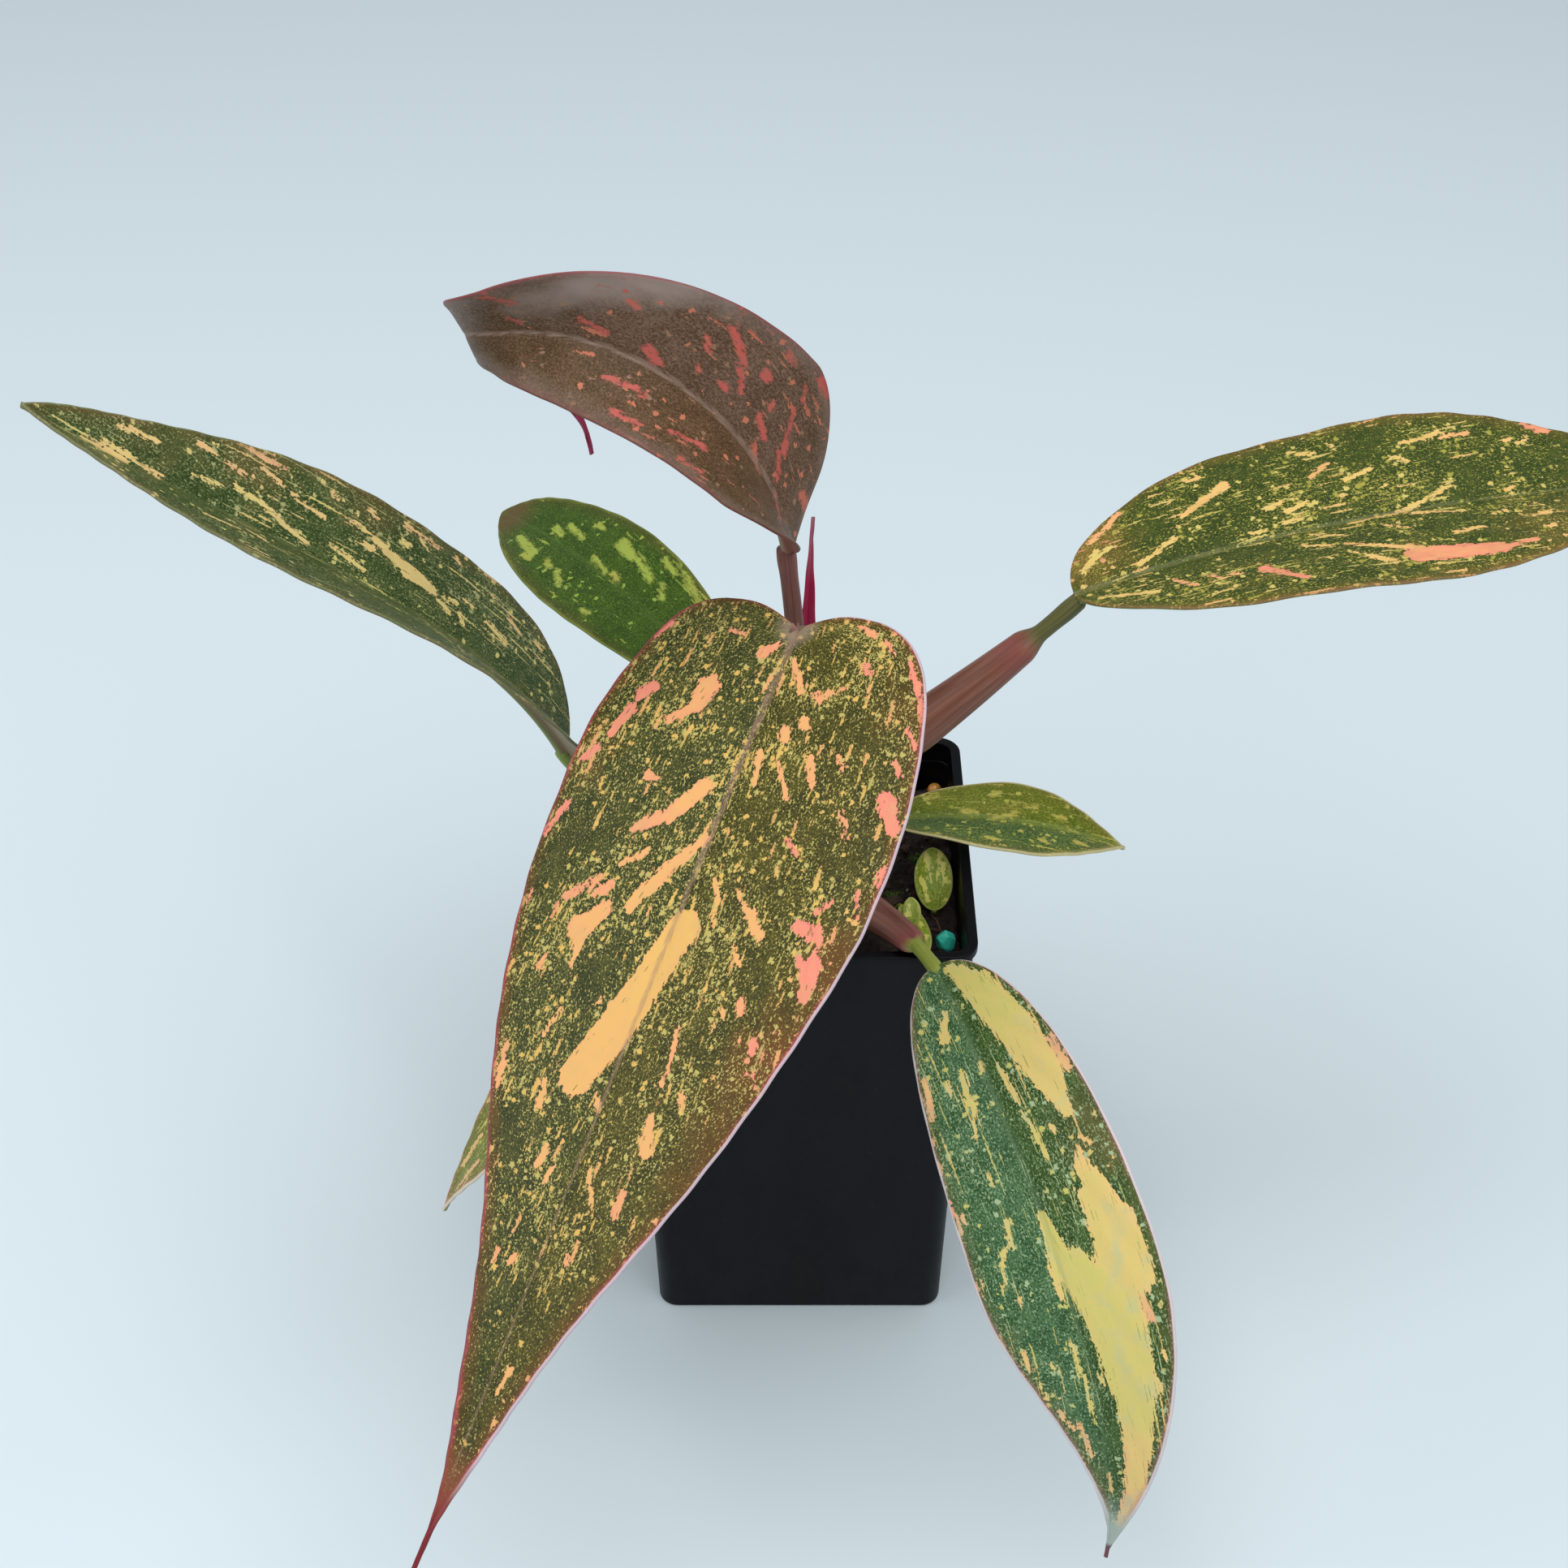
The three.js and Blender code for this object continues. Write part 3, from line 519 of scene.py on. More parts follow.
def outline_at(leaf, s, side):
    """Outline at a share s of the way from notch to tip, as length share and half-width"""
    wide = np.where(side > 0, leaf["left"], leaf["right"])
    lobe, rear = leaf.get("lobe", (0, 0))
    start = LOBE_SHARE if lobe else 0
    x = -lobe + (1 + lobe) * eased(np.clip((s - start) / (1 - start), 0, 1))
    y = np.maximum(MARGIN_END, half_width(leaf, x, side))
    if lobe:
        q = np.clip(s / LOBE_SHARE, 0, 1)
        x = np.where(s < LOBE_SHARE, -lobe * np.sin(q * np.pi / 2), x)
        y = np.where(s < LOBE_SHARE, MARGIN_END + q * (rear * wide - MARGIN_END), y)
    return x, y


def blade_layer(leaf, s, share, side):
    """Middle layer of the blade as points, and its distances along and across in millimetres"""
    edge_x, wide = outline_at(leaf, s, side)
    rib_x = eased(s) ** VEIN_SWEEP
    x = rib_x + (edge_x - rib_x) * share**VEIN_SWEEP
    place, aside, up = frame_at(leaf, x)
    fold, curl = math.radians(leaf["fold"]), math.radians(leaf["curl"])
    across = wide * share
    slope = fold - curl * across
    out = (math.sin(fold) - np.sin(slope)) / curl
    height, waves = leaf["wave"]
    wave = height * share * share * np.sin(np.pi * s) * np.sin(2 * np.pi * waves * s + side)
    wave = wave + ripple(leaf, s, across, side) * share
    high = (np.cos(slope) - math.cos(fold)) / curl + wave
    point = place + aside * (side * out)[..., None] + up * high[..., None]
    if "crease" in leaf:
        point = creased(leaf, point)
    return point, x * leaf["length"], side * across


def creased(leaf, point):
    """Points of a blade, carried round its fold where they lie beyond it"""
    at, skew, radius, turn, flatten = leaf["crease"]
    skew, turn = math.radians(skew), math.radians(turn)
    place, side, up = (v[0] for v in frame_at(leaf, np.array([at])))
    beyond = np.cross(side, up) * math.cos(skew) + side * math.sin(skew)
    distance, height = (point - place) @ beyond, (point - place) @ up
    angle = np.clip(distance / radius, 0, turn)
    rest = np.maximum(0, distance - radius * turn)
    lift = height * (1 - flatten * np.sin(angle))
    reach = (radius + lift) * np.sin(angle) + rest * np.cos(angle)
    drop = radius - (radius + lift) * np.cos(angle) + rest * np.sin(angle)
    moved = point + beyond * (reach - distance)[..., None] - up * (drop + height)[..., None]
    return np.where((distance > 0)[..., None], moved, point)


def ripple(leaf, s, across, side):
    """Slight quilting between the side veins, in millimetres"""
    phase = s * leaf["length"] / QUILT_SPACING - across / QUILT_SLANT
    return QUILT_RAISE * np.sin(2 * np.pi * phase) * np.sin(np.pi * s)


def stroke_depth(x, y, stroke, least=0):
    """Depth inside a round-ended stroke, given by its two ends and its width at each"""
    x0, y0, x1, y1, w0, w1 = stroke
    run = max((x1 - x0) ** 2 + (y1 - y0) ** 2, 1e-6)
    t = np.clip(((x - x0) * (x1 - x0) + (y - y0) * (y1 - y0)) / run, 0, 1)
    gap = np.hypot(x - x0 - t * (x1 - x0), y - y0 - t * (y1 - y0))
    return np.maximum(least, (w0 + (w1 - w0) * t) / 2) - gap


def marks_at(leaf, x, y):
    """Depth inside the listed streaks in millimetres, and their tint from yellow to pink"""
    depth = np.full(x.shape, -30.0)
    tint = np.zeros(x.shape)
    total = np.full(x.shape, 1e-6)
    for *stroke, shade in leaf["streaks"]:
        inside = stroke_depth(x, y, stroke, STREAK_HALF)
        depth = np.maximum(depth, inside)
        weight = np.exp(np.clip(inside / TINT_BLEND, -20, 6))
        tint += weight * shade
        total += weight
    for island in leaf.get("islands", ()):
        depth = np.minimum(depth, -stroke_depth(x, y, island))
    return depth, tint / total


def blade_grid(leaf, cell):
    """Middle layer of a blade as a grid of points, and each one's distance along, across and from the
    margin"""
    rows = round(leaf["length"] / cell)
    half = round(max(leaf["left"], leaf["right"]) / cell)
    s = np.linspace(0, 1, rows + 1)[:, None]
    inner = np.linspace(0, 1, half + 1) ** 1.2
    rim = np.radians((30, 60, 90))
    layer = []
    for side in (-1, 1):
        _, wide = outline_at(leaf, s, side)
        rounded = np.minimum(RIM_ROUND, 0.5 * wide)
        share = inner * (wide - rounded) / wide
        share = np.hstack([share, (wide - rounded * (1 - np.sin(rim))) / wide])
        order = slice(None, 0, -1) if side < 0 else slice(None)
        found = [*blade_layer(leaf, s, share, side), wide * (1 - share)]
        layer.append([values[:, order] for values in found])
    return [np.concatenate(pair, 1) for pair in zip(*layer)]


def blade_sides(leaf, middle, x, y, margin):
    """Upper and lower side of a blade: a bead along the rim, a groove over the midrib, a ridge below"""
    normal = np.cross(np.gradient(middle, axis=0), np.gradient(middle, axis=1))
    normal /= np.linalg.norm(normal, axis=-1, keepdims=True) + 1e-12
    thick = BLADE / 2 * np.sqrt(1 - (1 - np.clip(margin / RIM_ROUND, 0, 1)) ** 2)
    thick = thick + RIM_BEAD * np.exp(-(((margin - RIM_BEAD_PLACE) / RIM_BEAD_SPREAD) ** 2))
    thick[0] = thick[-1] = 0
    thick[:, 0] = thick[:, -1] = 0
    toward_tip = np.clip(x / leaf["length"], 0, 1)
    ridge = leaf["radius"][1] + (RIDGE_TIP - leaf["radius"][1]) * toward_tip**0.7
    groove = GROOVE_DEPTH * (1 - toward_tip) * np.exp(-((y / GROOVE_HALF) ** 2))
    bulge = ridge * np.sqrt(np.clip(1 - (y / np.maximum(ridge, RIDGE_TIP)) ** 2, 0, 1))
    inside = thick > 0
    upper = middle + normal * (thick - groove * inside)[..., None]
    return upper, middle - normal * (thick + bulge * inside)[..., None]


def blade_faces(rows, count):
    """Faces of an upper and a lower grid that share their border"""
    number = np.arange(rows * count).reshape(rows, count)
    under = number.copy()
    inner = np.arange((rows - 2) * (count - 2))
    under[1:-1, 1:-1] = number.size + inner.reshape(rows - 2, count - 2)
    faces = []
    for grid, flip in ((number, False), (under, True)):
        quads = np.stack([grid[:-1, :-1], grid[1:, :-1], grid[1:, 1:], grid[:-1, 1:]], -1).reshape(-1, 4)
        faces += (quads[:, ::-1] if flip else quads).tolist()
    return faces


def blade_tags(leaf, x, y, margin):
    """What the blade's skin reads at each point: place, place along the veins, marks and side"""
    widest = max(leaf["left"], leaf["right"])
    toward_tip = np.clip(x / leaf["length"], 0, 1)
    lead = leaf["veins"] * (0.8 + 0.5 * toward_tip) * widest * (np.abs(y) / widest) ** 0.75
    slant = math.hypot(1, 0.95 * leaf["veins"])
    depth, tint = marks_at(leaf, x, y)
    zone = np.zeros(x.shape)
    for zx, zy, radius, weight in leaf.get("zones", ()):
        zone += weight * np.exp(-((x - zx) ** 2 + (y - zy) ** 2) / radius**2)
    return {
        "flat": np.stack([x, y, margin], -1),
        "vein": np.stack([(x - lead) / slant, np.abs(y) * slant, 30 * np.sign(y)], -1),
        "mark": np.stack([depth, tint, np.clip(zone, 0, 1)], -1),
        "upper": np.stack([1 + 0 * x] * 3, -1),
    }


def leaf_piece(leaf, skins, cell=0.6):
    """One leaf: its thin blade with a raised midrib below, and its petiole with the open sheath"""
    middle, x, y, margin = blade_grid(leaf, cell)
    upper, lower = blade_sides(leaf, middle, x, y, margin)
    points = [upper.reshape(-1, 3), lower[1:-1, 1:-1].reshape(-1, 3)]
    faces = blade_faces(*x.shape)
    blade_count = len(faces)
    tags = {}
    for key, value in blade_tags(leaf, x, y, margin).items():
        lower_value = value[1:-1, 1:-1] * (0 if key == "upper" else 1)
        tags[key] = [value.reshape(-1, 3), lower_value.reshape(-1, 3)]

    rings, reaches = petiole_rings(leaf)
    petiole, petiole_faces = skinned(rings)
    start = sum(len(p) for p in points)
    faces += [[start + k for k in face] for face in petiole_faces]
    points.append(petiole)
    for key in tags:
        tags[key].append(reaches if key == "flat" else np.zeros_like(petiole))
    made = piece(leaf["name"] + "_fine", np.concatenate(points), faces, skins)
    skin_of_face = np.zeros(len(faces), dtype=np.int32)
    skin_of_face[blade_count:] = 1
    made.data.polygons.foreach_set("material_index", skin_of_face)
    for key, value in tags.items():
        tag = made.data.attributes.new(key, "FLOAT_VECTOR", "POINT")
        tag.data.foreach_set("vector", np.concatenate(value).astype(np.float32).ravel())
    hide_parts(leaf["name"])
    return made


JOINT_SHARE = 0.012
PETIOLE_CELL = 0.7
PETIOLE_SIDES = 40
SHEATH_FADE = 0.08
SWELL = 0.12
SWELL_SHARE = 0.94
SWELL_SPREAD = 0.05
CHANNEL_DEPTH = 0.12
SLIT_DEPTH = 0.42
FAR_CHANNEL_DEPTH = 0.1


def petiole_rings(leaf):
    """Rings of a petiole, whose lower part is a sheath with two margins folded to a slit on top"""
    place, _, up = (v[0] for v in frame_at(leaf, np.array([JOINT_SHARE])))
    end = place - 0.5 * leaf["radius"][1] * up
    path = [*leaf["stalk"], tuple(end)]
    steps = max(40, round(sum(math.dist(a, b) for a, b in zip(path, path[1:])) / PETIOLE_CELL))
    places, sides_way, ups = tube_frames(path, steps)
    foot, middle, last, share = leaf["sheath"]
    t = np.linspace(0, 1, steps + 1)
    girth = leaf["radius"][0] + (leaf["radius"][1] - leaf["radius"][0]) * t
    part = 2 * np.clip(t / share, 0, 1)
    wing = np.where(part < 1, foot + (middle - foot) * part, middle + (last - middle) * (part - 1))
    fade = smooth((t - share) / SHEATH_FADE)
    wide = np.maximum(wing, girth) * (1 - fade) + girth * fade
    high = 0.8 * np.maximum(wing, girth) * (1 - fade) + girth * fade
    swell = 1 + SWELL * np.exp(-(((t - SWELL_SHARE) / SWELL_SPREAD) ** 2))
    angles = np.linspace(0, 2 * math.pi, PETIOLE_SIDES, endpoint=False)
    rings, reaches = [], []
    for k in range(steps + 1):
        top = np.clip(np.sin(angles), 0, 1)
        slit = np.exp(-((np.cos(angles) / 0.24) ** 2)) * top
        channel = smooth((top - 0.6) / 0.25)
        dip = (1 - fade[k]) * (CHANNEL_DEPTH * channel + SLIT_DEPTH * slit)
        dip = dip + fade[k] * FAR_CHANNEL_DEPTH * channel
        close = math.sqrt(max(0.02, 1 - max(0, 1 - (1 - t[k]) / 0.02) ** 2)) * swell[k]
        ring = places[k] + sides_way[k] * (wide[k] * close * np.cos(angles))[:, None]
        ring = ring + ups[k] * (high[k] * close * np.sin(angles) * (1 - dip))[:, None]
        rings.append(ring)
        reaches.append(np.stack([0 * angles + t[k], angles * 2.0, 0 * angles + 1 - fade[k]], 1))
    return rings, np.concatenate(reaches)


VEIN_SPACING = 3.1
VEIN_RAISE = 0.025


def blade_skin(name, look):
    """Skin of a blade: ground, streaks, flecks, midrib, coloured margin and paler under face"""
    plain = {"IOR": 1.42, "Roughness": look.get("rough", 0.45), "Specular IOR Level": 0.22}
    skin, tree, shader = surface_of(name, plain)
    keys = ("flat", "vein", "mark", "upper")
    tags = [node(tree, "Attribute", attribute_name=key).node.outputs["Vector"] for key in keys]
    flat, vein, mark, upper = tags
    along, across, margin = node(tree, "SeparateXYZ", {0: flat}).node.outputs
    depth, tint, zone = node(tree, "SeparateXYZ", {0: mark}).node.outputs
    upper = node(tree, "SeparateXYZ", {0: upper}).node.outputs[0]
    threads = node(tree, "VectorMath", {0: vein, 1: (1 / 1.2, 1 / 3.5, 1)}, operation="MULTIPLY")

    # Patterns by the size of their patches in millimetres, their detail and their roughness
    patterns = []
    for place, size, detail, rough in (
        (threads, 1, 2, 0.5),
        (flat, 0.8, 2, 0.6),
        (flat, 0.42, 2, 0.65),
        (flat, 13, 2, 0.5),
        (flat, 5, 3, 0.5),
        (flat, 0.16, 1, 0.5),
    ):
        pattern = {"Vector": place, "Scale": 1 / size, "Detail": detail, "Roughness": rough}
        patterns.append(node(tree, "TexNoise", pattern))
    ragged, dots, grain, broad, cloud, tissue = patterns

    def painted(tone, colour, pattern, none, full, most=1.0):
        """A tone with a colour laid over it, more of it as the pattern goes from none to full"""
        share = {"Value": pattern, "From Min": none, "From Max": full, "To Max": most}
        below, above = (hue(c) if isinstance(c, str) else c for c in (tone, colour))
        mix = {0: node(tree, "MapRange", share), 6: below, 7: above}
        return node(tree, "Mix", mix, data_type="RGBA")

    def swayed(pattern, other, factor):
        """A pattern moved up and down by another about its middle"""
        other = node(tree, "Math", {0: other, 1: 0.5}, operation="SUBTRACT")
        return node(tree, "Math", {0: other, 1: factor, 2: pattern}, operation="MULTIPLY_ADD")

    def tinted(value):
        """The streaks' colour, from yellow over orange to pink"""
        yellow, orange, pink = look["tints"]
        return painted(painted(yellow, orange, value, 0, 0.5), pink, value, 0.5, 1)

    # Ground in two tones, with the half behind, and the zones and the parts near the margin in the zone
    # colour: bronze on most leaves, a painted grey sheen on the crown leaf
    speckled = swayed(grain, cloud, 0.35)
    ground = painted(*look["ground"], speckled, 0.385, 0.625)
    if "half" in look:
        other = painted(*look["half"], speckled, 0.385, 0.625)
        ground = painted(ground, other, swayed(across, cloud, 3), 1.5, -2)
    bronze_and_sheen = {"Value": swayed(zone, cloud, 0.6), "From Min": 0.2, "From Max": 0.7}
    edge = {"Value": swayed(margin, cloud, -3.5), "From Min": 3.35, "From Max": 0.35}
    edge["To Max"] = look.get("edge", 0.8)
    bronze_and_sheen = {0: node(tree, "MapRange", bronze_and_sheen), 1: node(tree, "MapRange", edge)}
    bronze_and_sheen = node(tree, "Math", bronze_and_sheen, operation="MAXIMUM")
    ground = painted(ground, look["zone"], bronze_and_sheen, 0, 1)

    # Crowding of the flecks: patchy, closer near streaks and sparser towards the tip
    near = node(tree, "MapRange", {"Value": depth, "From Min": -4.5, "From Max": -0.4, "To Max": 0.22})
    patchy = {"Value": broad, "From Min": 0.35, "From Max": 0.68, "To Max": look["crowd"]}
    crowd = node(tree, "Math", {0: node(tree, "MapRange", patchy), 1: near}, operation="ADD")
    fewer = {"Value": along, "From Min": 95, "From Max": 150, "To Min": 1, "To Max": look.get("sparse", 1)}
    crowd = node(tree, "Math", {0: crowd, 1: node(tree, "MapRange", fewer)}, operation="MULTIPLY")
    wobble = node(tree, "TexNoise", {"Vector": flat, "Scale": 1 / 0.6, "Detail": 3}).node.outputs["Color"]
    wobble = node(tree, "VectorMath", {0: wobble, 1: (0.5, 0.5, 0.5)}, operation="SUBTRACT")

    def flecks(thick, long, fullness, often, crowd, place=vein):
        """Flecks of a width and length in millimetres, with a chance value for each fleck's tint"""
        spot = node(tree, "VectorMath", {0: place, 1: (1 / thick, 1 / long, 0)}, operation="MULTIPLY")
        spot = {0: wobble, 1: (1.3, 1.3, 0), 2: spot}
        spot = node(tree, "VectorMath", spot, operation="MULTIPLY_ADD")
        cells = node(tree, "TexVoronoi", {"Vector": spot, "Scale": 1}).node.outputs
        luck = node(tree, "SeparateColor", {0: cells["Color"]}).node.outputs
        size = node(tree, "Math", {0: luck["Red"], 1: fullness, 2: 0.1}, operation="MULTIPLY_ADD")
        inside = node(tree, "Math", {0: size, 1: cells["Distance"]}, operation="SUBTRACT")
        often = node(tree, "Math", {0: crowd, 1: often}, operation="MULTIPLY")
        kept = node(tree, "Math", {0: luck["Green"], 1: often}, operation="LESS_THAN")
        shape = {"Value": inside, "From Min": -0.04, "From Max": 0.08, "To Max": kept}
        return node(tree, "MapRange", shape), luck["Blue"]

    # Flecks of four sizes
    tiny = swayed(swayed(grain, crowd, 0.14), dots, 0.5)
    tone = painted(ground, look["fleck"], tiny, 0.56, 0.63, look.get("small", 0.9))
    middle, luck = flecks(1.1, 1.1, 0.46, 2.0 * look["big"], crowd, flat)
    tone = painted(tone, painted(look["fleck"], tinted(bronze_and_sheen), luck, 0.3, 0.9), middle, 0, 1, 0.9)
    slim, luck = flecks(1.5, 1.0, 0.38, 1.3 * look["big"], crowd)
    tone = painted(tone, painted(look["fleck"], tinted(bronze_and_sheen), luck, 0, 1), slim, 0, 1, 0.8)
    big, luck = flecks(2.3, 1.9, 0.42, 0.9 * look["big"], crowd)
    big_tint = {"Value": swayed(bronze_and_sheen, luck, 0.9), "From Min": -0.45, "From Max": 1.55}
    tone = painted(tone, tinted(node(tree, "MapRange", big_tint)), big, 0, 1, 0.85)

    # Streaks, ragged at their edges and pinker there
    field = swayed(swayed(swayed(depth, ragged, 2), dots, 1.7), grain, 0.5)
    soft = look.get("soft", 0.08)
    pinker = node(tree, "MapRange", {"Value": field, "From Min": 0.9, "From Max": 0, "To Max": 0.18})
    shade = node(tree, "Math", {0: swayed(tint, cloud, 0.6), 1: pinker}, operation="ADD")
    streak = painted(tinted(shade), look["tints"][1], ragged, 0.42, 0.62, 0.2)
    streak = painted(streak, look["fleck"], grain, 0.5, 0.7, 0.22)
    streak = painted(streak, look["fleck"], cloud, 0.5, 0.72, look.get("cloudy", 0.3))
    crumbs, _ = flecks(0.6, 1.0, 0.36, look.get("crumbs", 0.14), 1)
    by_edge = node(tree, "MapRange", {"Value": field, "From Min": 3, "From Max": 0.5, "To Max": 0.8})
    streak = painted(streak, look["ground"][1], crumbs, 0, 1, by_edge)
    tone = painted(tone, streak, field, -soft, soft)

    # A pale painted sheen about the joint with the petiole, then midrib, margin, under face and tip
    if "joint_sheen" in look:
        away = node(tree, "VectorMath", {0: flat, 1: (1, 0.9, 0)}, operation="MULTIPLY")
        away = node(tree, "VectorMath", {0: away}, operation="LENGTH").node.outputs["Value"]
        tone = painted(tone, look["joint_sheen"], swayed(away, dots, 2.5), 4.4, 1.8, 0.6)
    off_rib = node(tree, "Math", {0: across}, operation="ABSOLUTE")
    rib_half = node(tree, "MapRange", {"Value": along, "From Max": 110, "To Min": 0.9, "To Max": 0.25})
    on_rib = node(tree, "Math", {0: rib_half, 1: off_rib}, operation="SUBTRACT")
    worn = {"Value": ragged, "From Min": 0.35, "From Max": 0.55, "To Max": look.get("rib_share", 0.45)}
    tone = painted(tone, look["rib"], on_rib, -0.2, 0.25, node(tree, "MapRange", worn))
    broken = {"Value": broad, "From Min": 0.35, "From Max": 0.6, "To Max": look.get("line_share", 0.7)}
    broken = node(tree, "MapRange", broken)
    tone = painted(tone, look["line"], swayed(margin, grain, -1.2), 1.1, 0.5, broken)
    rim = painted(look.get("other_rim", look["rim"]), look["rim"], across, -0.5, 0.5)
    rim_width = look.get("rim_width", 0.5)
    tone = painted(tone, rim, margin, rim_width, rim_width - 0.15, look.get("rim_share", 0.8))
    under = painted(look["under"], tinted(tint), field, -soft, soft, 0.55)
    under = painted(under, look["rib"], on_rib, -0.4, 0.1)
    tone = painted(under, tone, upper, 0, 1)
    for colour, start, full in look.get("tip", ()):
        tone = painted(tone, colour, swayed(along, cloud, 6), start, full, 0.9)
    tree.links.new(tone, shader["Base Color"])

    # Fine relief: cell grain over side veins
    ridges = node(tree, "SeparateXYZ", {0: vein}).node.outputs[0]
    ridges = node(tree, "Math", {0: ridges, 1: 2 * math.pi / VEIN_SPACING}, operation="MULTIPLY")
    ridges = node(tree, "Math", {0: ridges}, operation="SINE")
    height = node(tree, "Math", {0: ridges, 1: tissue}, operation="ADD")
    relief = node(tree, "Bump", {"Height": height, "Strength": 0.4, "Distance": VEIN_RAISE * MM})
    tree.links.new(relief, shader["Normal"])
    return skin


def petiole_skin(name, look):
    """Skin of a petiole: sheath colour at the foot, its own colour beyond, with fine streaks"""
    skin, tree, shader = surface_of(name, {"IOR": 1.42, "Roughness": 0.42, "Specular IOR Level": 0.35})
    flat = node(tree, "Attribute", attribute_name="flat").node.outputs["Vector"]
    share, _, sheath = node(tree, "SeparateXYZ", {0: flat}).node.outputs
    thread = node(tree, "VectorMath", {0: flat, 1: (3.5, 2.2, 1)}, operation="MULTIPLY")
    thread = node(tree, "TexNoise", {"Vector": thread, "Scale": 1, "Detail": 4, "Roughness": 0.6})
    streaks = node(tree, "MapRange", {"Value": thread, "From Min": 0.32, "From Max": 0.74})
    tones = []
    for dark, light in (look["stalk"], look["sheath"]):
        tones.append(node(tree, "Mix", {0: streaks, 6: hue(dark), 7: hue(light)}, data_type="RGBA"))
    tone = node(tree, "Mix", {0: sheath, 6: tones[0], 7: tones[1]}, data_type="RGBA")
    end = {"Value": share, "From Min": look["end"] - 0.12, "From Max": look["end"], "To Max": 0.6}
    end = node(tree, "Math", {0: node(tree, "MapRange", end), 1: sheath}, operation="MULTIPLY")
    tone = node(tree, "Mix", {0: end, 6: tone, 7: hue(look["pink"])}, data_type="RGBA")
    tree.links.new(tone, shader["Base Color"])
    relief = node(tree, "Bump", {"Height": thread, "Strength": 0.3, "Distance": 0.08 * MM})
    tree.links.new(relief, shader["Normal"])
    return skin


def grow_leaf(leaf, blade_look, petiole_look):
    """A leaf with a blade skin and a petiole skin of its own"""
    name = leaf["name"]
    skins = [blade_skin(name + "_blade", blade_look), petiole_skin(name + "_petiole", petiole_look)]
    leaf_piece(leaf, skins)


